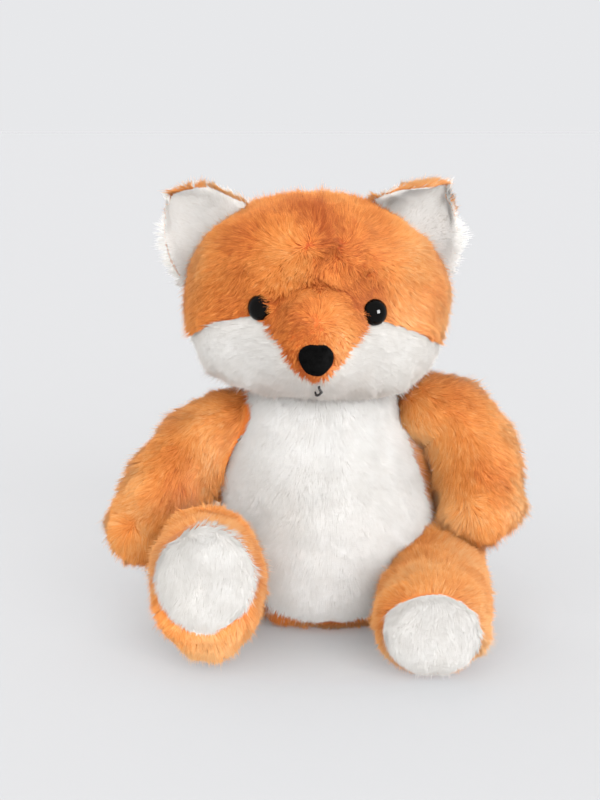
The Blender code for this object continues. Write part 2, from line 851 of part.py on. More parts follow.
# Eyes, nose and mouth

def button_profile(radius, dome):
    """A domed button's cap and shank, as radius and height pairs from the shank's end."""
    profile = [(SHANK_RADIUS, -SHANK_LENGTH), (SHANK_RADIUS, 0.0), (radius, 0.0)]
    for i in range(1, CAP_STEP_COUNT):
        angle = math.pi / 2 * i / CAP_STEP_COUNT
        profile.append((radius * math.cos(angle), dome * math.sin(angle)))
    return profile


def cover_hole(name, frame, seat_radius):
    """A button's hole through the cover, with the seat that its cap sinks into."""
    hole = SHANK_RADIUS + GAP
    profile = [(hole, -SHANK_LENGTH), (hole, -GAP)]
    if seat_radius is None:
        profile[-1] = (hole, CUT_OVERRUN)
    else:
        profile += [(seat_radius + GAP, -GAP), (seat_radius + GAP, CUT_OVERRUN)]
    return cutter(turned(name, profile, frame))


def washer_top(frame):
    """The height under a button at which its washer lies clear inside the cover."""
    to_head = HEAD_FRAME.inverted() @ frame
    top, room = 0.0, 0.0
    while room < SNOUT_ROOM:
        top -= WASHER_THICKNESS / 4
        gaps = []
        for i in range(ROUND_STEP_COUNT):
            angle = math.tau * i / ROUND_STEP_COUNT
            flat = Vector((math.cos(angle), math.sin(angle), 0))
            place = to_head @ (WASHER_RADIUS * flat + Vector((0, 0, top)))
            gaps.append(head_radius(place.normalized()) - COVER - place.length)
        room = min(gaps)
    return top


def stuffing_room(name, frame):
    """Room in the stuffing for a button's washer and the end of its shank."""
    hole, wide = SHANK_RADIUS + GAP, WASHER_RADIUS + GAP
    far = washer_top(frame) - WASHER_THICKNESS - GAP
    profile = [(hole, -SHANK_LENGTH - GAP), (hole, far), (wide, far), (wide, CUT_OVERRUN)]
    return cutter(turned(name, profile, frame))


def make_washer(name, frame, joint):
    top = washer_top(frame)
    bottom = top - WASHER_THICKNESS
    hole = SHANK_RADIUS + GAP
    washer = turned(name, [(WASHER_RADIUS, bottom), (WASHER_RADIUS, top)], frame)
    bore = turned(f"{name}_bore", [(hole, bottom - COVER), (hole, top + COVER)], frame)
    make_node(washer, "washer_plastic", joint)
    cut(washer, cutter(bore))


def nose_ring(frame, share, height):
    ring = []
    for i in range(ROUND_STEP_COUNT):
        angle = math.tau * i / ROUND_STEP_COUNT
        up = math.sin(angle)
        widest = math.copysign(abs(math.cos(angle)) ** NOSE_ROUNDING_POWER, math.cos(angle))
        wide = NOSE_HALF_WIDTH * (1 - NOSE_TAPER_SHARE + NOSE_TAPER_SHARE * up) * widest
        ring.append(frame @ Vector((wide * share, NOSE_HALF_HEIGHT * up * share, height)))
    return ring


def make_nose(frame, joint):
    rings = [nose_ring(frame, share, NOSE_DEPTH * rise) for share, rise in NOSE_DOME_SHARES]
    nose = make_node(loft("nose", rings), "nose_black", joint)
    post = turned(
        "nose_post", [(SHANK_RADIUS, -SHANK_LENGTH), (SHANK_RADIUS, NOSE_DEPTH / 2)], frame)
    cut(nose, cutter(post), operation="UNION")


def nose_clearance(frame):
    """The nose's own seat, a little larger than the nose."""
    margin = 1 + 2 * GAP / NOSE_HALF_HEIGHT
    rings = [nose_ring(frame, margin, height) for height in (-GAP, NOSE_DEPTH + CUT_OVERRUN)]
    return cutter(loft("nose_seat", rings))


def make_mouth(joint):
    """A short black stitch under the nose, lying along the seam between the cheeks."""
    above, below = (head_point(0, head_elevation(STITCH_ROW_COUNT - i, HEAD_ROW_COUNT)) for i in (0, 1))
    along = (below - above).normalized()
    across = HEAD_FRAME.to_3x3() @ Vector((1, 0, 0))
    out = along.cross(across)
    rings = []
    for share in STITCH_SHARES:
        place = above.lerp(below, share) + out * (STITCH_RADIUS + GAP)
        ring = (place, across * STITCH_RADIUS, out * STITCH_RADIUS)
        rings.append(ring_points(ring, [math.tau * k / THREAD_SIDE_COUNT for k in range(THREAD_SIDE_COUNT)]))
    return make_node(loft("mouth_stitch", rings), "black_thread", joint)


# Ears

def ear_frame(place):
    """Origin midway along the base, X down the side of the head, Y out of it, Z forwards."""
    ends = []
    for angle in place["span"]:
        direction = Vector((place["side"] * math.cos(angle), 0, math.sin(angle)))
        ends.append(direction * (head_radius(direction) - EAR_SINK))
    low, high = ends
    down = (low - high).normalized()
    forward = Vector((0, -1, 0))
    out = Vector((-down.z * place["side"], 0, down.x * place["side"]))
    frame = Matrix((down, out, forward)).transposed().to_4x4()
    middle = (low + high) / 2 + Vector((0, CROWN_SEAM_Y, 0))
    return HEAD_FRAME @ Matrix.Translation(middle) @ frame


def ear_point(place, frame, across_share, row, depth):
    """A point of the ear: across from -1 to 1, a row of its outline, depth towards the back."""
    height_share, near, far = row
    s = EAR_HALF_WIDTH * ((near + far) / 2 + (far - near) / 2 * across_share)
    run = EAR_HEIGHT * height_share
    fold = max(-across_share - EAR_FOLD_FROM_SHARE, 0) / (1 - EAR_FOLD_FROM_SHARE)
    bow = EAR_CUP * across_share ** 2 + place["fold"] * fold ** EAR_FOLD_POWER
    bow = bow * min(height_share / EAR_CUP_RISE_SHARE, 1) - depth
    angle = place["lean"]
    y, z = 0.0, 0.0
    for k in range(CAP_STEP_COUNT):
        turn = angle + place["curl"] * ((k + 0.5) / CAP_STEP_COUNT * height_share) ** 2
        y += run / CAP_STEP_COUNT * math.cos(turn)
        z += run / CAP_STEP_COUNT * math.sin(turn)
    tilt = angle + place["curl"] * height_share ** 2
    return frame @ Vector((s, y - bow * math.sin(tilt), z + bow * math.cos(tilt)))


def ear_layer(name, place, frame, near, far):
    grids = []
    for depth in (near, far):
        grid = []
        for row in EAR_SIDE_SHARES:
            grid.append([
                ear_point(place, frame, 2 * c / EAR_COLUMN_COUNT - 1, row, depth)
                for c in range(EAR_COLUMN_COUNT + 1)
            ])
        root = [
            point - (frame.to_3x3() @ Vector((0, 1, 0))) * EAR_ROOT_DROP for point in grid[0]
        ]
        grids.append([root, *grid])
    return sheet(name, *grids)


def ear_slot(name, frame, place):
    """Room in the head for the ear's root and for its swing either way."""
    outline = []
    for i in range(9):
        angle = -math.pi * i / 8
        outline.append((EAR_SLOT_RADIUS * math.cos(angle), EAR_SLOT_RADIUS * math.sin(angle)))
    cup = math.atan2(EAR_CUP + place["fold"], EAR_CUP_RISE_SHARE * EAR_HEIGHT)
    swings = ((-1, -EAR_FLOP_BACK - EAR_SWING_ROOM), (1, EAR_FLOP_FORWARD + cup))
    for side, swing in swings:
        angle = place["lean"] + swing
        outline.append((
            EAR_SLOT_RADIUS * side * math.cos(angle) + CUT_OVERRUN / 2 * math.sin(angle),
            CUT_OVERRUN / 2 * math.cos(angle) - EAR_SLOT_RADIUS * side * math.sin(angle),
        ))
    rings = []
    reach = EAR_HALF_WIDTH * max(-row[1] for row in EAR_SIDE_SHARES) + 2 * GAP
    for along in (-reach, reach):
        rings.append([frame @ Vector((along, y, z)) for z, y in outline])
    return cutter(loft(name, rings))


# Assembly

def make_neck_gusset(joint):
    """The cap of cloth that closes the body under the head."""
    outer, inner = [], []
    for depth, rings in ((-GAP - NECK_GUSSET, outer), (-GAP, inner)):
        for i in range(1, NECK_ROW_COUNT + 1):
            angle = NECK_GUSSET_ANGLE * i / NECK_ROW_COUNT
            rings.append([
                dome_point(math.tau * k / NECK_COLUMN_COUNT, angle, depth)
                for k in range(NECK_COLUMN_COUNT)
            ])
    gusset = loft("neck_gusset", outer + inner[::-1])
    return make_node(gusset, "orange_plush", joint)


def make_label():
    """A blank satin label whose end is caught in the side seam, lying back along the body."""
    level = ("z", LABEL_Z)
    start = belly_edge(level)
    sweep = LABEL_LENGTH / body_radius(LABEL_Z)
    grids = []
    for depth in (-2 * GAP - LABEL_THICKNESS, -2 * GAP):
        grid = []
        for z in (LABEL_Z - LABEL_WIDTH / 2, LABEL_Z, LABEL_Z + LABEL_WIDTH / 2):
            grid.append([
                body_point(-start - sweep * c / LABEL_COLUMN_COUNT, z, depth)
                for c in range(LABEL_COLUMN_COUNT + 1)
            ])
        grids.append(grid)
    return make_node(sheet("care_label", *grids), "label_satin")


def build():
    clear_scene()
    neck = joint_empty("neck_joint", NECK)
    head = joint_empty("head_joint", NECK, neck)

    arms = {name: arm_limb(place) for name, place in ARMS.items()}
    legs = {name: leg_limb(place) for name, place in LEGS.items()}
    tail_start = body_point(math.pi, TAIL_Z) + Vector((0, TAIL_OUT, 0))
    tail = Limb(
        limb_path(tail_start, TAIL_REACH, TAIL_SPINE_SHARES),
        [TAIL_RADIUS * share for share in TAIL_SWELL_SHARES],
        [TAIL_RADIUS * share for share in TAIL_SWELL_SHARES],
        Vector((0, -1, 1)),
    )

    limbs = {f"arm_{name}": limb for name, limb in arms.items()}
    limbs |= {f"leg_{name}": limb for name, limb in legs.items()}
    limbs["tail"] = tail
    poles = {name: "Y" if name.startswith("arm") else "Z" for name in limbs}
    sockets = [
        ball(f"{name}_socket", limb.centres[0], (limb.ball + GAP) / BALL_SNUG, poles[name])
        for name, limb in limbs.items()
    ]

    for side_name, side in (("left", -1), ("right", 1)):
        belly = body_panel(f"belly_{side_name}", side, True, BELLY_COLUMN_COUNT)
        back = body_panel(f"back_{side_name}", side, False, BACK_COLUMN_COUNT)
        for panel, material in ((belly, "white_plush"), (back, "orange_plush")):
            make_node(panel, material)
            cut(panel, *sockets)
    make_node(seat_panel(), "orange_plush")
    make_node(body_core("body_stuffing", COVER + GAP + FACET_ROOM, sockets), "stuffing")
    make_neck_gusset(neck)
    make_label()

    for name, limb in limbs.items():
        bite = ball(f"{name}_bite", limb.centres[0], limb.ball + GAP / 2, poles[name])
        keep_out = cutter(body_core(f"{name}_keep_out", -GAP - FACET_ROOM, [bite]))
        joint = joint_empty(f"{name}_joint", limb.centres[0])
        if name.startswith("arm"):
            make_limb(name, limb, joint, keep_out, (("front", 1), ("back", -1)))
        elif name.startswith("leg"):
            make_limb(name, limb, joint, keep_out, (("upper", 1), ("lower", -1)))
            make_sole(f"{name}_sole", limb, joint)
        else:
            make_tail(limb, joint, keep_out)

    eye_frames = {
        name: surface_frame(side * EYE_AZIMUTH, EYE_ELEVATION, EYE_SINK)
        for name, side in (("left", -1), ("right", 1))
    }
    nose_frame = surface_frame(0, NOSE_ELEVATION, NOSE_SINK)
    cover_holes = [
        cover_hole(f"eye_{name}_hole", frame, EYE_RADIUS) for name, frame in eye_frames.items()
    ]
    cover_holes += [cover_hole("nose_hole", nose_frame, None), nose_clearance(nose_frame)]
    rooms = [
        stuffing_room(f"{name}_room", frame)
        for name, frame in (*eye_frames.items(), ("nose", nose_frame))
    ]

    ear_frames = {name: ear_frame(place) for name, place in EAR_PLACES.items()}
    slots = [
        ear_slot(f"ear_{name}_slot", ear_frames[name], place)
        for name, place in EAR_PLACES.items()
    ]
    make_head(head, slots, cover_holes, rooms)
    for name, frame in eye_frames.items():
        eye = turned(f"eye_{name}", button_profile(EYE_RADIUS, EYE_DOME), frame)
        make_node(eye, "eye_black", head)
        make_washer(f"eye_{name}_washer", frame, head)
    make_nose(nose_frame, head)
    make_washer("nose_washer", nose_frame, head)
    make_mouth(head)
    for name, place in EAR_PLACES.items():
        frame = ear_frames[name]
        joint = joint_empty(f"ear_{name}_joint", frame.to_translation(), head)
        lining = ear_layer(f"ear_{name}_lining", place, frame, -GAP / 2 - EAR_LAYER, -GAP / 2)
        back = ear_layer(f"ear_{name}_back", place, frame, GAP / 2, GAP / 2 + EAR_LAYER)
        make_node(lining, "white_plush", joint)
        make_node(back, "orange_plush", joint)


build()
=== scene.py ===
"""The sitting plush fox, dressed: long pile on every panel, domed eyes and a flocked nose.

The shapes repeat the formulas of the solids, in metres, on much finer grids.
"""

import math

import bpy
import numpy as np
from mathutils.kdtree import KDTree
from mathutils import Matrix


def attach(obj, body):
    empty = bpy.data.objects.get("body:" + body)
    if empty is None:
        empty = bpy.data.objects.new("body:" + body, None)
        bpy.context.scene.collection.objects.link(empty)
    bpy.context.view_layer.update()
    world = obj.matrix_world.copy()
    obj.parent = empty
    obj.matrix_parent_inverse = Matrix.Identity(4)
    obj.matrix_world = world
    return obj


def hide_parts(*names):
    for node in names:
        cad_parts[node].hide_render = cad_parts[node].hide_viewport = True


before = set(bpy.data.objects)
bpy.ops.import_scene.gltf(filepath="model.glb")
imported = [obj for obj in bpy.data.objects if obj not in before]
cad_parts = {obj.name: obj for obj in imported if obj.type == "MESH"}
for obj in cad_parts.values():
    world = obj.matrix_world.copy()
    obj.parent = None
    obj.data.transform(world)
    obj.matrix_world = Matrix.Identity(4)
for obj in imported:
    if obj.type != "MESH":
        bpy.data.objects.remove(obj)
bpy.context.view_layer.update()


def mm(value):
    return value / 1000


# Shared fits
COVER = 0.004
GAP = 0.0003
SKIN_DEPTH = 0.0022

# Body
BODY_HALF_WIDTH = 0.0575
BODY_FRONT = 0.054
BODY_BACK = 0.047
BODY_WIDEST_Z = 0.050
SEAT_RADIUS = 0.030
SEAT_PANEL_Z = 0.0038
SHOULDER_Z = 0.110
SHOULDER_RADIUS = 0.0395
BODY_LEAN = math.radians(3.0)
NECK_PIVOT_Z = 0.100
NECK_HOLE_ANGLE = math.radians(32.0)
NECK_GUSSET = 0.0015
NECK_GUSSET_ANGLE = math.radians(44.0)
BELLY_TAPER_POWER = 1.25
SLOPE_STEP_SHARE = 0.01
BELLY_EDGE_SHARES = (
    (0.0, 5.0), (0.02, 17.0), (0.06, 34.0), (0.13, 46.0), (0.28, 60.0),
    (0.55, 66.0), (0.80, 70.0), (1.0, 75.0),
)

# Head
HEAD_OFFSET_X = -0.0022
HEAD_RISE = 0.0605
HEAD_HALF_WIDTH = 0.0640
HEAD_CROWN = 0.0515
HEAD_JAW = 0.0420
HEAD_FRONT = 0.0535
HEAD_BACK = 0.050
HEAD_ROLL = math.radians(2.4)
CROWN_POWER = 2.15
JAW_POWER = 3.1
SNOUT_REACH = 0.0235
SNOUT_SPREAD = math.radians(20.0)
SNOUT_DROP = math.radians(-12.0)
SNOUT_COLUMN_SHARE = 0.45
CROWN_SEAM_Y = 0.006
SLOPE_STEP = math.radians(4.0)
WHITE_EDGE_SHARES = np.array((
    (0.0, -0.60), (0.086, -0.53), (0.17, -0.40), (0.24, -0.23), (0.31, -0.08),
    (0.39, 0.03), (0.52, 0.0), (0.67, -0.10), (0.86, -0.27), (0.95, -0.33), (1.25, -0.36),
))
MUZZLE_ARC_SHARES = np.array(((0.0, 0.44), (0.19, 0.37), (0.31, 0.22), (0.39, 0.09)))
EYE_RADIUS = 0.0064
EYE_DOME = 0.0050
EYE_AZIMUTH = math.radians(29.0)
EYE_ELEVATION = math.radians(5.6)
EYE_SINK = 0.0016
SHANK_RADIUS = 0.0022
SHANK_LENGTH = 0.011
NOSE_HALF_WIDTH = 0.0096
NOSE_HALF_HEIGHT = 0.0070
NOSE_DEPTH = 0.0075
NOSE_SINK = 0.0030
NOSE_ELEVATION = math.radians(-9.6)
NOSE_TAPER_SHARE = 0.20
NOSE_ROUNDING_POWER = 0.75
NOSE_DOME_SHARES = np.array(((0.86, 0.0), (1.0, 0.22), (0.97, 0.52), (0.80, 0.82), (0.40, 1.0)))

# Ears
EAR_HALF_WIDTH = 0.025
EAR_HEIGHT = 0.0375
EAR_LAYER = 0.0022
EAR_CUP = 0.006
EAR_ROOT_DROP = 0.0015
EAR_SINK = 0.0025
EAR_CUP_RISE_SHARE = 0.45
EAR_SIDE_SHARES = np.array((
    (0.0, -1.0, 1.0), (0.14, -1.02, 0.98), (0.32, -1.01, 0.88), (0.50, -0.97, 0.73),
    (0.68, -0.87, 0.50), (0.82, -0.75, 0.26), (0.92, -0.61, 0.02), (0.98, -0.49, -0.18),
    (1.0, -0.40, -0.28),
))
EAR_FOLD_FROM_SHARE = 0.35
EAR_FOLD_POWER = 1.5
# Side, span of the root on the head, lean, curl and fold of the crown side
EARS = {
    "left": (-1, math.radians(3.0), math.radians(50.0), math.radians(6.0), math.radians(12.0), 0.0),
    "right": (1, math.radians(15.0), math.radians(59.0), math.radians(12.0), math.radians(26.0), 0.0080),
}

# Limbs
ARM_RADIUS = 0.0178
ARM_REACH = 0.070
SHOULDER_Y = -0.002
ARM_DEPTH_SHARE = 0.90
ARMS = {
    "left": (
        (-0.704, 0.909),
        ((0, 0, 0), (-0.30, -0.08, -0.13), (-0.56, -0.17, -0.40), (-0.77, -0.28, -0.71)),
        (1.0, 1.07, 1.09, 0.96),
    ),
    "right": (
        (0.8435, 0.950),
        ((0, 0, 0), (0.18, -0.06, -0.06), (0.33, -0.16, -0.27), (0.39, -0.31, -0.575)),
        (1.0, 1.08, 1.15, 1.12),
    ),
}
HIP_OUT_SHARE = 0.94
HIP_FORWARD_SHARE = 0.26
HIP_RADIUS = 0.0250
HIP_LIFT = 0.0035
LEG_REACH = 0.075
SOLE_DOME = 0.0032
LEGS = {
    "left": (
        -1,
        (
            (0, 0, 0), (-0.02, -0.32, 0.02), (-0.04, -0.60, 0.10), (-0.055, -0.86, 0.155),
            (-0.06, -1.05, 0.245),
        ),
        (1.0, 0.96, 1.02, 1.06, 1.02),
        (1.0, 1.0, 1.24, 1.50, 1.10),
        math.radians(10.0),
        math.radians(-4.0),
    ),
    "right": (
        1,
        (
            (0, 0, 0), (-0.02, -0.34, -0.045), (-0.05, -0.66, -0.05), (-0.075, -0.98, -0.048),
            (-0.085, -1.23, -0.055),
        ),
        (1.0, 1.0, 1.06, 1.10, 0.99),
        (1.0, 0.88, 0.90, 0.95, 0.92),
        math.radians(-10.0),
        0.0,
    ),
}
TAIL_RADIUS = 0.013
TAIL_REACH = 0.046
TAIL_OUT = 0.004
TAIL_Z = 0.030
TAIL_SPINE_SHARES = ((0, 0, 0), (0.08, 0.48, 0.12), (0.16, 0.78, 0.50), (0.20, 0.82, 1.0))
TAIL_SWELL_SHARES = (1.0, 1.26, 1.34, 0.80)
TAIL_TIP_FROM = 2.0

# Care label
LABEL_WIDTH = 0.0075
LABEL_LENGTH = 0.016
LABEL_Z = 0.0580

# Studio
PAPER = (0.802, 0.807, 0.824)
CAMERA_AIM = np.array((-0.0155, 0.0, 0.1085))
CAMERA_ELEVATION = math.radians(15.0)
CAMERA_DISTANCE = 1.2
CAMERA_LENS, CAMERA_SENSOR = 108.0, 36.0
CAMERA_CLIP = (0.01, 20.0)
SKY_COLOUR = (1.0, 0.995, 0.985)
SKY_POWER = 0.95
LAMP_AIM = np.array((-0.01, 0, 0.10))
# Suns: the way they come from, power and softness
SUNS = {
    "key": ((0.37, -0.93, 0.47), 3.0, math.radians(50)),
    "fill": ((-0.70, -0.78, 0.50), 1.0, math.radians(70)),
    "rim": ((-0.15, 0.62, 0.77), 0.9, math.radians(60)),
}
# The small window that only shows in the gloss of the eyes
GLINT_PLACE, GLINT_POWER, GLINT_SIZE = (1.05, -0.85, 0.42), 60.0, 0.46
FLOOR_REACH = 1.6
FLOOR_COLOUR = (0.512, 0.515, 0.523)
FAR_FLOOR_COLOUR = (0.505, 0.509, 0.520)
FLOOR_COLOUR_SPAN = (0.30, 1.0)
# Distance from the middle, and how see-through the floor is there, which lightens its shadow as painted
# light
FLOOR_FADE = ((0.055, 0.16), (0.12, 0.55), (0.30, 0.59))

# Pile, in metres and strands per square metre
PILE_DENSITY = 7.4e6
CLUMP_DENSITY = 0.42e6
MOST_STRANDS = 56000
STRAND_WIDTH = 0.00032
FLOCK_WIDTH = 0.00020
ROOT_ANGLE, TIP_ANGLE = np.radians(56), np.radians(17)
FLOOR_CLEARANCE = 0.0002
# Length of each coat, and a tone added to it; the lighter arm, leg and tail tones are painted light
# where the lamps reach the limbs less
COATS = {
    "belly": (mm(5.6), 0.0), "back": (mm(6.2), -0.06), "seat": (mm(4.4), -0.10),
    "neck": (mm(1.6), -0.2), "head": (mm(5.8), 0.0), "arm": (mm(6.4), 0.10),
    "leg": (mm(5.8), 0.18), "tail": (mm(7.0), 0.18), "sole": (mm(4.4), 0.0),
    "tail_tip": (mm(7.0), 0.0), "ear": (mm(5.0), 0.0), "nose": (mm(0.55), 0.0),
}
# Size, height and seed of the soft lumps of the filling
LUMPS = {
    "belly": (0.030, mm(0.3), 3), "back": (0.030, mm(0.7), 3), "head": (0.034, mm(0.8), 5),
    "arm": (0.024, mm(0.5), 11), "leg": (0.024, mm(0.5), 11), "tail": (0.024, mm(0.5), 11),
    "sole": (0.016, mm(0.5), 17), "ear": (0.014, mm(0.3), 23), "nose": (0.004, mm(0.12), 31),
}
# How far the pile of a limb goes forward, down and outward
LIMB_FLOWS = {"arm": (1.0, 0.25, 0.0), "leg": (-0.55, 0.75, 0.25), "tail": (1.0, 0.0, 0.0)}
# The side that faces the body, in X
TO_BODY = {"arm_left": 1.0, "arm_right": -1.0}
INNER_SWELL, INNER_LENGTH = mm(2.0), mm(1.5)
# The crease in each hand: place, radius and depth
DENTS = {
    "arm_left": ((-0.1000, -0.038, 0.0520), 0.006, 0.0018),
    "arm_right": ((0.0635, -0.042, 0.0630), 0.006, 0.0018),
}
DENT_WHIRL = 0.016
SOLE_SHARES = {"leg_left": 0.88, "leg_right": 0.89}
EYE_HOLLOW, EYE_HOLLOW_DEPTH = 0.0085, mm(0.9)
BUTTON_SHARE = 0.93
NOSE_CUT = 0.86

DOWN = np.array((0.0, 0.0, -1.0))

rng = np.random.default_rng(41)


# Small vector helpers on arrays of rows

def unit(v):
    return v / np.maximum(np.linalg.norm(v, axis=-1, keepdims=True), 1e-12)


def dot(a, b):
    return np.sum(a * b, axis=-1)


def clamp(value):
    """The value, held between 0 and 1."""
    return np.clip(value, 0, 1)


def bell(distance, width):
    """1 at no distance, falling off over about width."""
    return np.exp(-(distance / width) ** 2)


def oval(place, height, half_wide, half_high):
    """A bell in two directions round the middle line of the head at a height."""
    return np.exp(-(place[:, 0] / half_wide) ** 2 - ((place[:, 2] - height) / half_high) ** 2)


def around(count):
    """Angles of a full turn."""
    return np.linspace(0, math.tau, count + 1)[:-1]


def tangent(v, normal):
    """The part of v that lies in the surface, as a unit row."""
    return unit(v - dot(v, normal)[..., None] * normal)


def waves(points, size, seed):
    """Soft noise around 0, mostly within 1, that changes over about size metres."""
    own = np.random.default_rng(seed)
    total = np.zeros(points.shape[:-1])
    for _ in range(9):
        way = unit(own.normal(size=3)) * math.tau / (size * own.uniform(1.4, 3.0))
        total += np.sin(points @ way + own.uniform(0, math.tau))
    return total / 2.4


def wave_rows(points, size, seed):
    """Three soft noises side by side."""
    return np.stack([waves(points, size, seed + i) for i in range(3)], axis=-1)


# Body surface

def body_centre_x(z):
    return -math.tan(BODY_LEAN) * np.minimum(z, NECK_PIVOT_Z)


NECK = np.array((-math.tan(BODY_LEAN) * NECK_PIVOT_Z, 0.0, NECK_PIVOT_Z))
DOME_RADIUS = math.hypot(SHOULDER_RADIUS, SHOULDER_Z - NECK_PIVOT_Z)
DOME_EDGE = math.acos((SHOULDER_Z - NECK_PIVOT_Z) / DOME_RADIUS)
HEAD_CENTRE = NECK + np.array((HEAD_OFFSET_X, 0, HEAD_RISE))


def body_radius(z):
    rise = np.clip(1 - z / BODY_WIDEST_Z, 0, 1)
    low = SEAT_RADIUS + (BODY_HALF_WIDTH - SEAT_RADIUS) * np.sqrt(1 - rise * rise)
    share = np.clip((z - BODY_WIDEST_Z) / (SHOULDER_Z - BODY_WIDEST_Z), 0, 1)
    swell = np.abs(np.cos(math.pi / 2 * share)) ** BELLY_TAPER_POWER
    high = SHOULDER_RADIUS + (BODY_HALF_WIDTH - SHOULDER_RADIUS) * swell
    return np.where(z <= BODY_WIDEST_Z, low, high)


def body_fullness(z):
    share = np.clip((z - BODY_WIDEST_Z) / (SHOULDER_Z - BODY_WIDEST_Z), 0, 1)
    return np.where(z <= BODY_WIDEST_Z, z / BODY_WIDEST_Z, np.cos(math.pi / 2 * share))


def body_normal(z):
    step = BODY_WIDEST_Z * SLOPE_STEP_SHARE
    low, high = np.maximum(z - step, 0), np.minimum(z + step, SHOULDER_Z)
    slope = (body_radius(high) - body_radius(low)) / (high - low)
    out, up = 1 / np.hypot(1, slope), -slope / np.hypot(1, slope)
    return np.where(z <= 0, 0.0, out), np.where(z <= 0, -1.0, up)


def body_point(azimuth, z, depth=0.0):
    azimuth, z = np.broadcast_arrays(azimuth, z)
    reach = np.where(np.cos(azimuth) > 0, BODY_FRONT, BODY_BACK)
    radius = body_radius(z)
    flat = 1 + (reach / BODY_HALF_WIDTH - 1) * body_fullness(z)
    out, up = body_normal(z)
    return np.stack((
        body_centre_x(z) + (radius - depth * out) * np.sin(azimuth),
        -(radius * flat - depth * out) * np.cos(azimuth),
        z - depth * up,
    ), axis=-1)


def dome_point(azimuth, angle, depth=0.0):
    azimuth, angle = np.broadcast_arrays(azimuth, angle)
    radius = DOME_RADIUS - depth
    return NECK + radius * np.stack((
        np.sin(angle) * np.sin(azimuth), -np.sin(angle) * np.cos(azimuth), np.cos(angle),
    ), axis=-1)


DOME_RUN = DOME_RADIUS * (DOME_EDGE - NECK_HOLE_ANGLE)


def body_surface(azimuth, run, depth):
    """A point by its height run: z up to the shoulder, then on over the dome."""
    z = np.minimum(run, SHOULDER_Z)
    angle = DOME_EDGE - np.maximum(run - SHOULDER_Z, 0) / DOME_RADIUS
    on_side = (run <= SHOULDER_Z)[..., None]
    return np.where(on_side, body_point(azimuth, z, depth), dome_point(azimuth, angle, depth))


def belly_edge(run):
    share = np.clip((run - SEAT_PANEL_Z) / (SHOULDER_Z - SEAT_PANEL_Z), 0, 1)
    table = np.array(BELLY_EDGE_SHARES)
    return np.radians(np.interp(share, table[:, 0], table[:, 1]))


def off_centre(points):
    """How far points are from the body's middle plane."""
    return np.abs(points[:, 0] - body_centre_x(points[:, 2]))


def in_body(points, margin=0.0):
    """Whether points lie inside the body's cover, margin inside it."""
    x, y, z = points[..., 0], points[..., 1], points[..., 2]
    level = np.clip(z, 0, SHOULDER_Z)
    radius = body_radius(level)
    reach = np.where(y < 0, BODY_FRONT, BODY_BACK)
    flat = 1 + (reach / BODY_HALF_WIDTH - 1) * body_fullness(level)
    across = (x - body_centre_x(level)) / (radius - margin)
    along = y / (radius * flat - margin)
    pear = (across ** 2 + along ** 2 < 1) & (z <= SHOULDER_Z) & (z > margin)
    dome = np.linalg.norm(points - NECK, axis=-1) < DOME_RADIUS - margin
    return pear | (dome & (z > SHOULDER_Z))


# Head surface

COS_ROLL, SIN_ROLL = math.cos(HEAD_ROLL), math.sin(HEAD_ROLL)
HEAD_TURN = np.array(((COS_ROLL, 0, SIN_ROLL), (0, 1, 0), (-SIN_ROLL, 0, COS_ROLL)))


def head_direction(azimuth, elevation):
    azimuth, elevation = np.broadcast_arrays(azimuth, elevation)
    return np.stack((
        np.cos(elevation) * np.sin(azimuth),
        -np.cos(elevation) * np.cos(azimuth),
        np.sin(elevation),
    ), axis=-1)


SNOUT = head_direction(np.array(0.0), np.array(SNOUT_DROP))


def head_radius(direction):
    x, y, z = direction[..., 0], direction[..., 1], direction[..., 2]
    squareness = np.clip(-2 * z, 0, 1)
    power = CROWN_POWER + (JAW_POWER - CROWN_POWER) * squareness
    total = (np.abs(x) / HEAD_HALF_WIDTH) ** power
    total += (np.abs(y) / np.where(y < 0, HEAD_FRONT, HEAD_BACK)) ** power
    total += (np.abs(z) / np.where(z > 0, HEAD_CROWN, HEAD_JAW)) ** power
    bend = np.arccos(np.clip(direction @ SNOUT, -1, 1)) / SNOUT_SPREAD
    return total ** (-1 / power) + SNOUT_REACH * np.exp(-bend * bend)


def head_local(azimuth, elevation, depth=0.0):
    direction = head_direction(azimuth, elevation)
    return direction * (head_radius(direction) - depth)[..., None]


def head_world(local):
    return HEAD_CENTRE + local @ HEAD_TURN.T


def in_head(points, margin=0.0):
    local = (points - HEAD_CENTRE) @ HEAD_TURN
    far = np.linalg.norm(local, axis=-1)
    return far < head_radius(unit(local)) - margin


def surface_frame(azimuth, elevation, depth):
    """Columns across, up and out, and the origin, of a frame on the head."""
    azimuth, elevation = np.array(azimuth), np.array(elevation)
    here = head_world(head_local(azimuth, elevation))
    right = head_world(head_local(azimuth + SLOPE_STEP, elevation)) - head_world(
        head_local(azimuth - SLOPE_STEP, elevation))
    upward = head_world(head_local(azimuth, elevation + SLOPE_STEP)) - head_world(
        head_local(azimuth, elevation - SLOPE_STEP))
    out = unit(np.cross(right, upward))
    up = unit(upward - out * dot(upward, out))
    return np.stack((np.cross(up, out), up, out), axis=-1), here - out * depth


EYE_FRAMES = {
    name: surface_frame(side * EYE_AZIMUTH, EYE_ELEVATION, EYE_SINK)
    for name, side in (("left", -1), ("right", 1))
}
NOSE_FRAME = surface_frame(0.0, NOSE_ELEVATION, NOSE_SINK)

WHITE_X, WHITE_Z = WHITE_EDGE_SHARES[:, 0] * HEAD_HALF_WIDTH, WHITE_EDGE_SHARES[:, 1] * HEAD_JAW
ARC_X, ARC_Z = MUZZLE_ARC_SHARES[:, 0] * HEAD_HALF_WIDTH, MUZZLE_ARC_SHARES[:, 1] * HEAD_JAW
HEAD_PANELS = (
    "head_back", "head_crown_left", "head_crown_right", "muzzle_top", "cheek_left", "cheek_right",
)


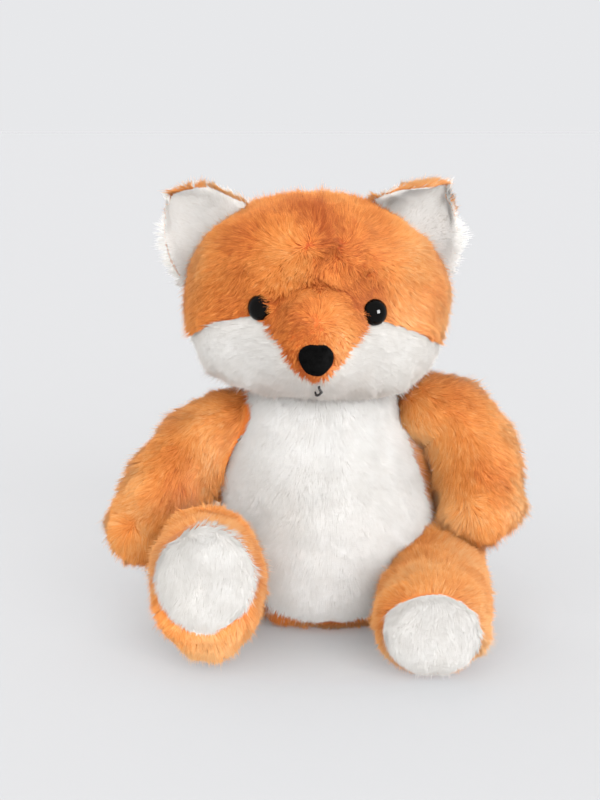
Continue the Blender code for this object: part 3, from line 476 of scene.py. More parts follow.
def head_panel(local):
    """The number in HEAD_PANELS of the panel that a place in the head's frame lies on."""
    x, y, z = local[..., 0], local[..., 1], local[..., 2]
    out = np.abs(x)
    white = z < np.interp(out, WHITE_X, WHITE_Z)
    muzzle = ~white & (out < ARC_X[-1]) & (z < np.interp(out, ARC_X, ARC_Z))
    side = np.where(x > 0, 1, 0)
    panel = np.where(white, 4 + side, np.where(muzzle, 3, 1 + side))
    return np.where(y > CROWN_SEAM_Y, 0, panel)


def to_line(x, z, xs, zs):
    """Distance in X and Z from each place to a broken line."""
    best = np.full(x.shape, 1.0)
    for a, b, c, d in zip(xs[:-1], zs[:-1], xs[1:], zs[1:]):
        along = clamp(((x - a) * (c - a) + (z - b) * (d - b)) / ((c - a) ** 2 + (d - b) ** 2))
        best = np.minimum(best, np.hypot(x - a - along * (c - a), z - b - along * (d - b)))
    return best


def head_seam(local):
    """Distance to the nearest seam, stretched so that the finer seams look narrower."""
    x, y, z = local[..., 0], local[..., 1], local[..., 2]
    out = np.abs(x)
    near = to_line(out, z, WHITE_X, WHITE_Z)
    near = np.minimum(near, to_line(out, z, ARC_X, ARC_Z) * 2.6)
    near = np.where(y < CROWN_SEAM_Y, near, 1.0)
    near = np.minimum(near, np.abs(y - CROWN_SEAM_Y) * 1.5 + clamp(z / 0.012) * mm(20))
    on_muzzle = (z > WHITE_Z[0]) & (z < ARC_Z[0])
    centre = np.where((y < CROWN_SEAM_Y) & ~on_muzzle, out * 1.4, 1.0)
    return np.minimum(near, centre)


# Limbs

def smooth(values, steps):
    """A Catmull-Rom curve through the rows of values."""
    values = np.array(values, float)
    ends = np.concatenate((2 * values[:1] - values[1:2], values, 2 * values[-1:] - values[-2:-1]))
    out = []
    for i in range(1, len(ends) - 2):
        a, b, c, d = ends[i - 1:i + 3]
        for k in range(steps):
            t = k / steps
            out.append(0.5 * (
                2 * b + (c - a) * t + (2 * a - 5 * b + 4 * c - d) * t * t
                + (3 * b - a - 3 * c + d) * t ** 3
            ))
    out.append(values[-1])
    return np.array(out)


class Limb:
    """A tube on a curved spine: rings with a centre, two half axes and a forward direction."""

    def __init__(self, start, reach, spine, widths, heights, up_axis, end_normal=None, steps=14):
        self.start = np.array(start)
        self.ball = widths[0]
        self.up_axis = np.array(up_axis, float)
        self.end_normal = end_normal
        centres = self.start + reach * smooth(spine, steps)
        widths, heights = smooth(widths, steps), smooth(heights, steps)
        ahead = np.gradient(centres, axis=0)
        if end_normal is not None:
            from_end = np.arange(len(ahead)) - len(ahead) + 1
            share = clamp((from_end + steps / 2) / (steps / 2))[:, None]
            ahead = unit(ahead) * (1 - share) + share * end_normal
        self.stations = (centres, widths, heights, unit(ahead))
        self.steps = steps

    def axes(self, forward):
        up = unit(self.up_axis - forward * self.up_axis.dot(forward))
        return np.cross(up, forward), up

    def rings(self, depth, first=0.0, last=None):
        """Centres, across axes, up axes and ways forward; first and last count spine points."""
        centres, widths, heights, ahead = self.stations
        out = []
        if first == 0.0:
            across, up = self.axes(ahead[0])
            radius = self.ball - depth
            for angle in np.radians(np.linspace(2, 84, 16)):
                out.append((
                    centres[0] - ahead[0] * radius * math.cos(angle),
                    across * radius * math.sin(angle), up * radius * math.sin(angle), ahead[0],
                ))
        low = int(round(first * self.steps))
        high = len(centres) - 1 if last is None else int(round(last * self.steps))
        for i in range(low, high + 1):
            across, up = self.axes(ahead[i])
            wide, high = across * (widths[i] - depth), up * (heights[i] - depth)
            out.append((centres[i], wide, high, ahead[i]))
        if self.end_normal is None and last is None:
            across, up = self.axes(ahead[-1])
            width, height = widths[-1] - depth, heights[-1] - depth
            for angle in np.radians(np.linspace(8, 89, 13)):
                out.append((
                    centres[-1] + ahead[-1] * width * math.sin(angle),
                    across * width * math.cos(angle), up * height * math.cos(angle), ahead[-1],
                ))
        return [np.array(column) for column in zip(*out)]


def arm_limb(name):
    (out_share, up_share), spine, swell = ARMS[name]
    widths = [ARM_RADIUS * share for share in swell]
    heights = [widths[0], *[ARM_DEPTH_SHARE * width for width in widths[1:]]]
    start = (out_share * BODY_HALF_WIDTH, SHOULDER_Y, up_share * SHOULDER_Z)
    return Limb(start, ARM_REACH, spine, widths, heights, (0, -1, 0))


def leg_limb(name):
    side, spine, wide, high, tilt, toe_out = LEGS[name]
    height = HIP_RADIUS + HIP_LIFT
    start = (
        body_centre_x(height) + side * HIP_OUT_SHARE * BODY_HALF_WIDTH,
        -HIP_FORWARD_SHARE * BODY_FRONT, height,
    )
    normal = np.array((
        math.sin(toe_out), -math.cos(tilt) * math.cos(toe_out), math.sin(tilt),
    ))
    widths = [HIP_RADIUS * share for share in wide]
    heights = [HIP_RADIUS * share for share in high]
    return Limb(start, LEG_REACH, spine, widths, heights, (0, 0, 1), normal)


def tail_limb():
    start = body_point(np.array(math.pi), np.array(TAIL_Z)) + (0, TAIL_OUT, 0)
    widths = [TAIL_RADIUS * share for share in TAIL_SWELL_SHARES]
    return Limb(start, TAIL_REACH, TAIL_SPINE_SHARES, widths, widths, (0, -1, 1))


LIMBS = {f"arm_{name}": arm_limb(name) for name in ARMS}
LIMBS |= {f"leg_{name}": leg_limb(name) for name in LEGS}
LIMBS["tail"] = tail_limb()


# Skins: a grid of points with what the pile on it needs

class Skin:
    """Vertices, quads and, at each vertex, normal, chart place, nap, pile length and shade: a tone that
    holds the pile's own tones and also painted light and shade.
    """

    ROWS = ("points", "normals", "chart", "nap", "length", "lift", "shade", "seam")

    def __init__(self, grid, outwards, columns_closed=False):
        rows, columns = grid.shape[:2]
        down, across = np.gradient(grid, axis=0), np.gradient(grid, axis=1)
        if columns_closed:
            across = np.roll(grid, -1, axis=1) - np.roll(grid, 1, axis=1)
        normal = unit(np.cross(down, across))
        if np.mean(dot(normal, outwards)) < 0:
            normal = -normal
        number = np.arange(rows * columns).reshape(rows, columns)
        right = np.roll(number, -1, axis=1) if columns_closed else number[:, 1:]
        left = number if columns_closed else number[:, :-1]
        quads = np.stack((left[:-1], right[:-1], right[1:], left[1:]), axis=-1).reshape(-1, 4)
        a, b, c = (grid.reshape(-1, 3)[quads[:, i]] for i in (0, 1, 2))
        facing = dot(np.cross(b - a, c - a), normal.reshape(-1, 3)[quads[:, 0]])
        if np.sum(facing) < 0:
            quads = quads[:, ::-1]
        v, u = np.meshgrid(np.linspace(0, 1, rows), np.linspace(0, 1, columns), indexing="ij")
        self.points = grid.reshape(-1, 3).copy()
        self.normals = normal.reshape(-1, 3)
        self.chart = np.stack((u, v), axis=-1).reshape(-1, 2)
        self.quads = quads
        count = len(self.points)
        self.nap = np.zeros((count, 3))
        self.length = np.zeros(count)
        self.lift = np.full(count, 1.0)
        self.shade = np.zeros(count)
        self.seam = np.full(count, 1.0)

    def comb(self, way):
        """Lays the pile along the part of way that lies in the skin."""
        self.nap = tangent(way, self.normals)

    def coat(self, kind):
        length, tone = COATS[kind]
        self.length[:] = length
        self.shade += tone

    def sink(self, depth):
        self.points -= self.normals * depth[:, None]

    def groove(self, distance, depth=0.0013, width=0.0028):
        """Pulls the skin in along its seams."""
        self.sink(depth * bell(distance, width))
        self.seam = distance

    def dent(self, place, radius, depth):
        """A hollow, with painted shade at its bottom, that the pile fans out of."""
        pull = bell(np.linalg.norm(self.points - np.array(place), axis=1), radius)
        self.sink(depth * pull)
        # Painted shade: darker where the hollow is deepest
        self.shade -= 0.18 * pull
        off = self.points - np.array(place)
        whirl = bell(np.linalg.norm(off, axis=1), DENT_WHIRL)[:, None]
        self.comb(self.nap * (1 - 0.6 * whirl) + 0.6 * (unit(off) - 0.2 * DOWN) * whirl)

    def lump(self, kind, shift=0):
        size, height, seed = LUMPS[kind]
        self.points += self.normals * (height * waves(self.points, size, seed + shift))[:, None]

    def keep(self, wanted):
        """Drops the quads whose middles aren't wanted."""
        self.quads = self.quads[wanted]

    def cut(self, wanted):
        """A skin of its own from the wanted quads, charted over the whole square."""
        kept = self.quads[wanted]
        spread = np.unique(kept)
        number = np.zeros(len(self.points), int)
        number[spread] = np.arange(len(spread))
        skin = Skin.__new__(Skin)
        skin.quads = number[kept]
        for key in self.ROWS:
            setattr(skin, key, getattr(self, key)[spread])
        low, high = skin.chart.min(axis=0), skin.chart.max(axis=0)
        skin.chart = (skin.chart - low) / (high - low)
        return skin

    def middles(self):
        return self.points[self.quads].mean(axis=1)


def edge_distance(grid, first_row_too=False):
    """How far each grid point is from its row's two ends and, if asked, from the first row."""
    steps = np.linalg.norm(np.diff(grid, axis=1), axis=2)
    run = np.concatenate((np.zeros((len(grid), 1)), np.cumsum(steps, axis=1)), axis=1)
    near = np.minimum(run, run[:, -1:] - run)
    if first_row_too:
        fall = np.linalg.norm(np.diff(grid, axis=0), axis=2)
        drop = np.concatenate((np.zeros((1, grid.shape[1])), np.cumsum(fall, axis=0)), axis=0)
        near = np.minimum(near, drop)
    return near.reshape(-1)


# Pile

def strand_lines(roots, normals, nap, lengths, lifts):
    """The root, the bend and the tip of each strand."""
    start, end = ROOT_ANGLE * lifts, TIP_ANGLE * lifts
    at = [roots]
    place = roots
    for share in (0.25, 0.80):
        angle = (start + (end - start) * share ** 0.8)[:, None]
        place = place + (np.cos(angle) * nap + np.sin(angle) * normals) * (lengths / 2)[:, None]
        at.append(place)
    return np.stack(at, axis=1)


CALM = {"clump": 0.12, "spread": 0.10, "ruffle": 0.40, "guard": 0.04}


def grow(skin, density, keep_root, clump=0.38, spread=0.22, ruffle=1.0, guard=0.09):
    """Strands scattered over the skin and gathered in tufts: their lines, normals and tones.

    spread turns them aside, ruffle varies their lift and tone, and guard is the share of
    longer strands that stand free of the tufts.
    """
    corner = skin.points[skin.quads]
    diagonals = np.cross(corner[:, 2] - corner[:, 0], corner[:, 3] - corner[:, 1])
    area = 0.5 * np.linalg.norm(diagonals, axis=1)
    count = min(int(area.sum() * density), MOST_STRANDS)
    pick = rng.choice(len(area), size=count, p=area / area.sum())
    s, t = rng.random((2, count, 1))
    blend = np.concatenate(((1 - s) * (1 - t), s * (1 - t), s * t, (1 - s) * t), axis=1)[:, :, None]
    chosen = skin.quads[pick]

    def mix(values):
        if values.ndim == 1:
            values = values[:, None]
        return (values[chosen] * blend).sum(axis=1)

    roots = mix(skin.points)
    inside = keep_root(roots)
    roots = roots[inside]
    normals, nap = unit(mix(skin.normals)[inside]), mix(skin.nap)[inside]
    lengths, lifts, shade, seam = (
        mix(values)[inside, 0] for values in (skin.length, skin.lift, skin.shade, skin.seam)
    )
    count = len(roots)

    soft, fine = wave_rows(roots, 0.011, 70), wave_rows(roots, 0.0035, 80)
    nap = tangent(unit(nap) + spread * 1.2 * soft + spread * 0.8 * fine, normals)
    nap = tangent(nap + rng.normal(scale=spread * 0.45, size=(count, 3)), normals)
    lengths = lengths * (1 + 0.16 * waves(roots, 0.006, 90)) * rng.uniform(0.72, 1.12, count)
    lifts = lifts * (1 + 0.20 * ruffle * waves(roots, 0.009, 91))
    lifts = lifts * (1 + ruffle * rng.uniform(-0.14, 0.18, count))
    free = rng.random(count) < guard * (1 + 1.5 * bell(seam, 0.004))
    lengths = lengths * np.where(free, rng.uniform(1.15, 1.45, count), 1)
    lifts = lifts * np.where(free, rng.uniform(1.1, 1.4, count), 1)
    lines = strand_lines(roots, normals, nap, lengths, lifts)

    tufts = max(int(count / density * CLUMP_DENSITY), 1)
    guides = rng.choice(count, size=tufts, replace=False)
    tree = KDTree(len(guides))
    for i, place in enumerate(roots[guides]):
        tree.insert(place, i)
    tree.balance()
    nearest = np.array([tree.find(place)[1] for place in roots])
    leader = lines[guides[nearest]]
    gather = np.minimum(clump + 0.42 * bell(seam, 0.0045), 0.8) * rng.uniform(0.5, 1.1, count)
    pull = np.array((0.0, 0.42, 1.0))[None, :, None] * gather[:, None, None]
    lines = lines + (leader - lines) * pull * np.where(free, 0.2, 1.0)[:, None, None]

    tuft = rng.normal(scale=0.07, size=len(guides))[nearest]
    tone = 0.5 + 0.13 * waves(roots, 0.016, 95) + tuft + rng.normal(scale=0.13, size=count)
    tone = 0.5 + (tone - 0.5) * ruffle + shade
    tone -= 0.16 * bell(seam, 0.0030)
    return lines, normals, clamp(tone)


def spikes(lines, normals, width, relief, tipward):
    """Fine three-sided spikes from the roots to the tips, with the normals they shade by."""
    count = len(lines)
    roots, tips = lines[:, 0] - normals * (1.3 * width), lines[:, -1]
    along = unit(tips - roots)
    side = unit(np.cross(along, normals))
    flat = np.cross(side, along)
    radius = 0.58 * width * rng.uniform(0.7, 1.25, count)
    phase = rng.uniform(0, math.tau, count)

    def shaded(way):
        return unit(normals * 0.72 + way * relief - DOWN * 0.20 + along * tipward)

    corners, ways = [], []
    for k in range(3):
        angle = phase + math.tau / 3 * k
        way = side * np.cos(angle)[:, None] + flat * np.sin(angle)[:, None]
        corners.append(roots + way * radius[:, None])
        ways.append(shaded(way))
    points = np.stack((*corners, tips), axis=1)
    up = np.tile(np.array((0, 0, 0, 1.0)), (count, 1))
    return points, np.stack((*ways, shaded(flat)), axis=1), up


TONE_STRIPS = 48
CHART_TOP = 0.90


def rim_of(quads):
    """The directed border edges of a set of quads."""
    edges = np.concatenate([quads[:, (i, (i + 1) % 4)] for i in range(4)])
    key = np.sort(edges, axis=1)
    key = key[:, 0] * 10_000_000 + key[:, 1]
    _, back, times = np.unique(key, return_inverse=True, return_counts=True)
    return edges[times[back.reshape(-1)] == 1]


def link(name, data):
    obj = bpy.data.objects.new(name, data)
    bpy.context.scene.collection.objects.link(obj)
    return obj


def piece(name, skin, material, grown, width=STRAND_WIDTH, hem=0.0022, relief=0.35, tipward=0.0):
    """One mesh of skin, its turned-in hem and its pile."""
    points, shading = [skin.points], [skin.normals]
    tone = [clamp(0.32 + skin.shade)]
    up = [np.zeros(len(skin.points))]
    chart = [skin.chart * (0.98, CHART_TOP - 0.02) + 0.01]
    faces = [skin.quads]
    border = rim_of(skin.quads)
    used = np.unique(border)
    if hem and len(used):
        number = np.zeros(len(skin.points), int)
        number[used] = len(skin.points) + np.arange(len(used))
        points.append(skin.points[used] - skin.normals[used] * hem)
        shading.append(skin.normals[used])
        tone.append(clamp(0.15 + skin.shade[used]))
        up.append(np.zeros(len(used)))
        chart.append(chart[0][used])
        near, far = border[:, 0], border[:, 1]
        faces.append(np.stack((far, near, number[near], number[far]), axis=-1))
    total = sum(len(p) for p in points)
    lines, normals, strand_tone = grown
    spiked, spike_shading, spike_up = spikes(lines, normals, width, relief, tipward)
    count = len(spiked)
    first = total + 4 * np.arange(count)[:, None, None]
    triangles = (first + np.array(((1, 0, 3), (2, 1, 3), (0, 2, 3)))).reshape(-1, 3)
    points.append(spiked.reshape(-1, 3))
    shading.append(spike_shading.reshape(-1, 3))
    tone.append(np.repeat(strand_tone, 4))
    up.append(spike_up.reshape(-1))
    strip = np.minimum((strand_tone * TONE_STRIPS).astype(int), TONE_STRIPS - 1)
    u = (strip[:, None] + np.array((0.2, 0.5, 0.8, 0.5))) / TONE_STRIPS
    v = CHART_TOP + 0.01 + 0.085 * spike_up
    chart.append(np.stack((u, v), axis=-1).reshape(-1, 2))
    points = np.concatenate(points)
    points[:, 2] = np.maximum(points[:, 2], FLOOR_CLEARANCE)
    shading, tone = np.concatenate(shading), np.concatenate(tone)
    up, chart = np.concatenate(up), np.concatenate(chart)
    quads = np.concatenate(faces)
    mesh = bpy.data.meshes.new(name)
    loops = np.concatenate((quads.reshape(-1), triangles.reshape(-1)))
    triangle_starts = 4 * len(quads) + 3 * np.arange(len(triangles))
    starts = np.concatenate((4 * np.arange(len(quads)), triangle_starts))
    mesh.vertices.add(len(points))
    mesh.vertices.foreach_set("co", points.astype(np.float32).reshape(-1))
    mesh.loops.add(len(loops))
    mesh.loops.foreach_set("vertex_index", loops.astype(np.int32))
    mesh.polygons.add(len(starts))
    mesh.polygons.foreach_set("loop_start", starts.astype(np.int32))
    mesh.update(calc_edges=True)
    for title, values in (("tone", tone), ("along", up)):
        attribute = mesh.attributes.new(title, "FLOAT", "POINT")
        attribute.data.foreach_set("value", values.astype(np.float32))
    layer = mesh.uv_layers.new(name="OFBake")
    layer.data.foreach_set("uv", chart[loops].astype(np.float32).reshape(-1))
    mesh.shade_smooth()
    mesh.validate()
    mesh.normals_split_custom_set_from_vertices(shading.astype(np.float32))
    mesh.materials.append(material)
    return link(name, mesh)


# Materials

def nodes_of(name):
    material = bpy.data.materials.new(name)
    material.use_nodes = True
    tree = material.node_tree
    return material, tree, tree.nodes["Principled BSDF"]


def add(tree, kind, **settings):
    node = tree.nodes.new(kind)
    for key, value in settings.items():
        setattr(node, key, value)
    return node


def ramp(tree, source, stops):
    node = add(tree, "ShaderNodeValToRGB")
    while len(node.color_ramp.elements) < len(stops):
        node.color_ramp.elements.new(0.5)
    for element, (place, colour) in zip(node.color_ramp.elements, stops):
        element.position = place
        element.color = (*colour, 1)
    tree.links.new(source, node.inputs["Fac"])
    return node.outputs["Color"]


def noise(tree, scale, detail=3.0):
    where = add(tree, "ShaderNodeTexCoord")
    node = add(tree, "ShaderNodeTexNoise")
    node.inputs["Scale"].default_value = scale
    node.inputs["Detail"].default_value = detail
    node.inputs["Roughness"].default_value = 0.55
    tree.links.new(where.outputs["Object"], node.inputs["Vector"])
    return node.outputs["Fac"]


def multiply(tree, a, b):
    node = add(tree, "ShaderNodeMix", data_type="RGBA", blend_type="MULTIPLY")
    node.inputs["Factor"].default_value = 1.0
    tree.links.new(a, node.inputs["A"])
    tree.links.new(b, node.inputs["B"])
    return node.outputs["Result"]


def grey(value):
    return (value,) * 3


def pile_material(name, tones, along, roughness, sheen, tint, shine=0.28):
    """Colour by tuft and strand, with painted shade darker at the roots, and a soft large-scale mottle.
    """
    material, tree, shader = nodes_of(name)
    tone = add(tree, "ShaderNodeAttribute", attribute_name="tone").outputs["Fac"]
    height = add(tree, "ShaderNodeAttribute", attribute_name="along").outputs["Fac"]
    # The along ramp is painted shade: darker towards the roots, where the pile shades itself
    colour = multiply(tree, ramp(tree, tone, tones), ramp(tree, height, along))
    mottle = ramp(tree, noise(tree, 90.0), ((0.3, (0.93, 0.92, 0.91)), (0.7, grey(1.0))))
    tree.links.new(multiply(tree, colour, mottle), shader.inputs["Base Color"])
    low, high = grey(roughness - 0.1), grey(roughness + 0.1)
    tree.links.new(ramp(tree, noise(tree, 900.0), ((0.2, low), (0.8, high))), shader.inputs["Roughness"])
    shader.inputs["Specular IOR Level"].default_value = shine
    shader.inputs["Sheen Weight"].default_value = sheen
    shader.inputs["Sheen Roughness"].default_value = 0.45
    shader.inputs["Sheen Tint"].default_value = (*tint, 1)
    return material


# In each pile the second ramp, by along, is painted shade, darker towards the roots
ORANGE = pile_material(
    "orange_pile",
    (
        (0.0, (0.50, 0.105, 0.018)), (0.35, (0.83, 0.262, 0.050)),
        (0.62, (0.94, 0.370, 0.090)), (1.0, (0.97, 0.55, 0.24)),
    ),
    ((0.0, (0.84, 0.66, 0.52)), (0.45, (0.96, 0.92, 0.89)), (1.0, grey(1.0))),
    0.70, 0.40, (1.0, 0.66, 0.40),
)
WHITE = pile_material(
    "white_pile",
    ((0.0, (0.64, 0.615, 0.58)), (0.5, (0.80, 0.785, 0.762)), (1.0, (0.93, 0.922, 0.905))),
    ((0.0, (0.97, 0.955, 0.94)), (0.5, (0.99, 0.985, 0.98)), (1.0, grey(1.0))),
    0.78, 0.10, grey(1.0),
)
BLACK_FLOCK = pile_material(
    "black_flock",
    ((0.0, grey(0.002)), (0.6, grey(0.004)), (1.0, grey(0.010))),
    ((0.0, grey(0.6)), (1.0, grey(1.0))),
    0.85, 0.01, grey(0.6), 0.06,
)


def plain_material(name, dark, light, scale, roughness, bump=(0.0, 0.0), **settings):
    """Colour and roughness by one noise; bump is a strength and a height, settings are sockets."""
    material, tree, shader = nodes_of(name)
    value = noise(tree, scale, 5.0)
    tree.links.new(ramp(tree, value, ((0.25, dark), (0.75, light))), shader.inputs["Base Color"])
    low, high = grey(roughness - 0.06), grey(roughness + 0.06)
    tree.links.new(ramp(tree, value, ((0.2, low), (0.8, high))), shader.inputs["Roughness"])
    if bump[0]:
        node = add(tree, "ShaderNodeBump")
        node.inputs["Strength"].default_value, node.inputs["Distance"].default_value = bump
        tree.links.new(value, node.inputs["Height"])
        tree.links.new(node.outputs["Normal"], shader.inputs["Normal"])
    for title, setting in settings.items():
        shader.inputs[title.replace("_", " ")].default_value = setting
    return material


EYE_BLACK = plain_material(
    "eye_black", (0.0012, 0.0010, 0.0010), (0.0030, 0.0026, 0.0022), 140.0, 0.07,
    Specular_IOR_Level=0.10,
)
THREAD = plain_material(
    "black_thread", (0.008, 0.008, 0.008), (0.035, 0.032, 0.030), 1800.0, 0.62, (0.5, 0.0002),
)
FIBRE = plain_material(
    "fibre_fill", (0.74, 0.73, 0.71), (0.90, 0.90, 0.89), 260.0, 0.92, (0.8, 0.001),
)
WASHER = plain_material(
    "washer_plastic", (0.66, 0.65, 0.62), (0.76, 0.75, 0.73), 420.0, 0.42, (0.15, 0.0001),
)
SATIN = plain_material(
    "label_satin", (0.74, 0.66, 0.54), (0.86, 0.80, 0.70), 1500.0, 0.38, (0.25, 0.0001),
    Sheen_Weight=0.25, Anisotropic=0.5,
)


# Pieces

def dress(obj, body, *nodes, slot, padded=False):
    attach(obj, body)
    if nodes:
        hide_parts(*nodes)


def fur(skin, name, body, node, keep_root, white=False, thickness=1.0, growth=None, **looks):
    """Grows the pile on a skin and puts the piece in the place of its node."""
    growth = growth or (CALM if white else {})
    grown = grow(skin, PILE_DENSITY * thickness, keep_root, **growth)
    looks = {"relief": 0.12 if white else 0.35} | looks
    obj = piece(name, skin, WHITE if white else ORANGE, grown, **looks)
    dress(obj, body, node, slot="white_plush" if white else "orange_plush", padded=True)


def outside(*tests):
    """A test for roots that lie outside all of the given solids."""
    def check(points):
        good = np.ones(len(points), bool)
        for test in tests:
            good &= ~test(points)
        return good
    return check


def in_ball(centre, radius):
    return lambda points: np.linalg.norm(points - np.array(centre), axis=-1) < radius


CLEAR_OF_BALLS = outside(*(in_ball(limb.start, limb.ball) for limb in LIMBS.values()))
NEAR_HEAD, NEAR_BODY = mm(2), 0.0002


def belly_pile(skin, near):
    """Painted light low and high, where the legs and the head shade the belly; a faint centre seam,
    tufts at the side seams, short at the seat.
    """
    height = skin.points[:, 2]
    # Painted light: lighter towards the bottom, where the belly faces down beside the legs, and at the
    # top under the head
    skin.shade += 0.36 * clamp((0.060 - height) / 0.040)
    skin.shade += 0.20 * clamp((height - 0.085) / 0.012)
    centre = off_centre(skin.points)
    at_side = near < centre - mm(1)
    skin.groove(np.where(at_side, near, mm(9)))
    skin.sink(mm(0.5) * bell(centre, mm(2.4)))
    skin.lift *= 0.62
    brim = bell(near, mm(6)) * at_side
    skin.lift += 0.25 * brim
    skin.length += mm(1.6) * brim
    skin.length -= mm(3.0) * bell(height - SEAT_PANEL_Z, mm(6))


def make_body():
    runs = np.linspace(SEAT_PANEL_Z + 0.0004, SHOULDER_Z + DOME_RUN, 110)[:, None]
    edge = belly_edge(runs)
    for side_name, side in (("left", -1), ("right", 1)):
        for part, columns in (("belly", 56), ("back", 84)):
            white = part == "belly"
            low, high = (0.0, edge) if white else (edge, math.pi)
            azimuth = side * (low + (high - low) * np.linspace(0, 1, columns)[None, :])
            grid = body_surface(azimuth, np.broadcast_to(runs, azimuth.shape), SKIN_DEPTH)
            radial = np.stack((np.sin(azimuth), -np.cos(azimuth), 0 * azimuth + 0.2), axis=-1)
            skin = Skin(grid, radial)
            azimuth = azimuth.reshape(-1)
            around_side = (side * np.cos(azimuth), side * np.sin(azimuth), 0 * azimuth)
            apart = clamp(off_centre(skin.points) / mm(16))
            away = 0.40 * apart ** 1.5 if white else -0.15 * apart
            skin.comb(DOWN + away[:, None] * np.stack(around_side, axis=-1))
            skin.coat(part)
            skin.lump(part)
            near = edge_distance(grid, True)
            if white:
                belly_pile(skin, near)
            else:
                skin.groove(near)
            skin.keep(CLEAR_OF_BALLS(skin.middles()))
            bare = outside(lambda p: ~CLEAR_OF_BALLS(p), lambda p: in_head(p, NEAR_HEAD))
            name = f"{part}_{side_name}"
            fur(skin, f"{name}_fur", "torso", name, bare, white)


def make_seat():
    angles = around(96)
    centre = np.array((0.0, 0.0, 0.0006))
    rim = body_point(angles, np.full(angles.shape, 0.0005)) * (1, 1, 0) + centre
    rows = [centre + (rim - centre) * share for share in np.linspace(0.02, 1, 24)]
    for z in np.linspace(0.0010, SEAT_PANEL_Z, 6):
        rows.append(body_point(angles, np.full(angles.shape, z), mm(1.0)))
    grid = np.array(rows)
    skin = Skin(grid, np.broadcast_to(DOWN, grid.shape), columns_closed=True)
    skin.comb(skin.points * (1, 1, 0) + 0.0001)
    skin.coat("seat")
    fur(skin, "seat_fur", "torso", "seat_panel", CLEAR_OF_BALLS, thickness=0.8)


def make_neck():
    tilt = np.linspace(0.02, NECK_GUSSET_ANGLE, 26)
    grid = dome_point(around(80)[None, :], tilt[:, None], -GAP - NECK_GUSSET / 2)
    skin = Skin(grid, grid - NECK, columns_closed=True)
    skin.comb(skin.points * (1, 1, 0) + 0.0001)
    skin.coat("neck")
    fur(skin, "neck_gusset_cloth", "neck", "neck_gusset", outside(), thickness=0.8, hem=0.0006)


def head_nap(place, here, whorl):
    """The nap at places with normals here: from the nose outward, over the crown backward."""
    x, y, z = place.T
    away = unit(place - SNOUT * (HEAD_FRONT + SNOUT_REACH))
    fall = np.where(z < 0.0, 0.55, 0.10 + 0.95 * clamp(np.abs(x) / HEAD_HALF_WIDTH))
    nap = tangent(tangent(away, here) + fall[:, None] * DOWN, here)
    flat = np.zeros(len(place))
    parted = np.stack((np.tanh(x / 0.030), flat - 0.5, flat - 1), axis=-1)
    over_white = clamp((z - np.interp(np.abs(x), WHITE_X, WHITE_Z)) / mm(3))
    combed = over_white * clamp((0.90 - here[:, 2]) / 0.42) * (y < 0.02)
    nap = nap * (1 - combed)[:, None] + tangent(parted, here) * combed[:, None]
    nap = tangent(nap, here)
    return tangent(nap + 0.75 * whorl[:, None] * wave_rows(place, 0.0055, 61), here)


def head_pile(skin, place, here, whorl):
    """Short round the nose, long under the jaw, rustier at the brow."""
    skin.coat("head")
    front = place[:, 1] < 0
    to_nose = np.linalg.norm(skin.points - NOSE_FRAME[1], axis=1)
    jaw = clamp((-place[:, 2] - 0.022) / 0.012) * (place[:, 1] < CROWN_SEAM_Y)
    skin.length += mm(2.8) * jaw
    skin.length *= np.clip(0.42 + (to_nose - 0.009) / 0.040, 0.42, 1.0)
    skin.lift += 0.6 * jaw
    skin.lift -= 0.10 * whorl
    skin.lift += 0.35 * clamp((here[:, 2] - 0.80) / 0.15)
    skin.shade -= 0.24 * (oval(place, 0.024, 0.023, 0.021) * front)
    skin.shade -= 0.14 * whorl
    # Painted light and shade: the front of the face lighter on the right and darker on the left, the way
    # the key light falls
    skin.shade += 0.10 * np.clip(place[:, 0] / HEAD_HALF_WIDTH, -1, 1) * front
    skin.shade -= 0.10 * bell(to_nose - 0.011, 0.006)


def eye_hollow(skin, axes, origin):
    """Sinks the skin round an eye, with short pile that leans over its upper corner."""
    off = skin.points - origin
    far = np.linalg.norm(np.cross(off, axes[:, 2]), axis=1)
    close = dot(off, axes[:, 2][None, :]) > -0.02
    pull = bell(far, EYE_HOLLOW) * close * (np.linalg.norm(off, axis=1) < 0.03)
    skin.sink(EYE_HOLLOW_DEPTH * pull)
    off = skin.points - origin
    corner = unit(axes[:, 1] - 0.75 * np.sign(origin[0]) * axes[:, 0])
    inward = clamp(dot(unit(off), corner[None, :]) * 2 - 0.5)
    tuft = inward * bell(far - EYE_RADIUS, 0.0022) * (pull > 0)
    skin.comb(skin.nap * (1 - tuft)[:, None] - unit(off) * tuft[:, None])
    skin.lift += 0.30 * tuft
    skin.length *= (1 - 0.45 * pull * (1 - tuft))


def under_button(points):
    """Whether points lie under an eye or the nose."""
    hidden = np.zeros(len(points), bool)
    for axes, origin in EYE_FRAMES.values():
        off, out = points - origin, axes[:, 2]
        far = np.linalg.norm(off - dot(off, out[None, :])[:, None] * out, axis=1)
        hidden |= (far < EYE_RADIUS * BUTTON_SHARE) & (np.linalg.norm(off, axis=1) < 0.02)
    off = (points - NOSE_FRAME[1]) @ NOSE_FRAME[0]
    flat = (off[:, 0] / NOSE_HALF_WIDTH) ** 2 + (off[:, 1] / NOSE_HALF_HEIGHT) ** 2
    return hidden | ((flat < NOSE_CUT) & (np.abs(off[:, 2]) < 0.02))


def on_panel(number):
    """A test for roots on that panel of the head, clear of the buttons and the neck."""
    def check(points):
        good = head_panel((points - HEAD_CENTRE) @ HEAD_TURN) == number
        return good & ~under_button(points) & ~in_ball(NECK, DOME_RADIUS + mm(1))(points)
    return check


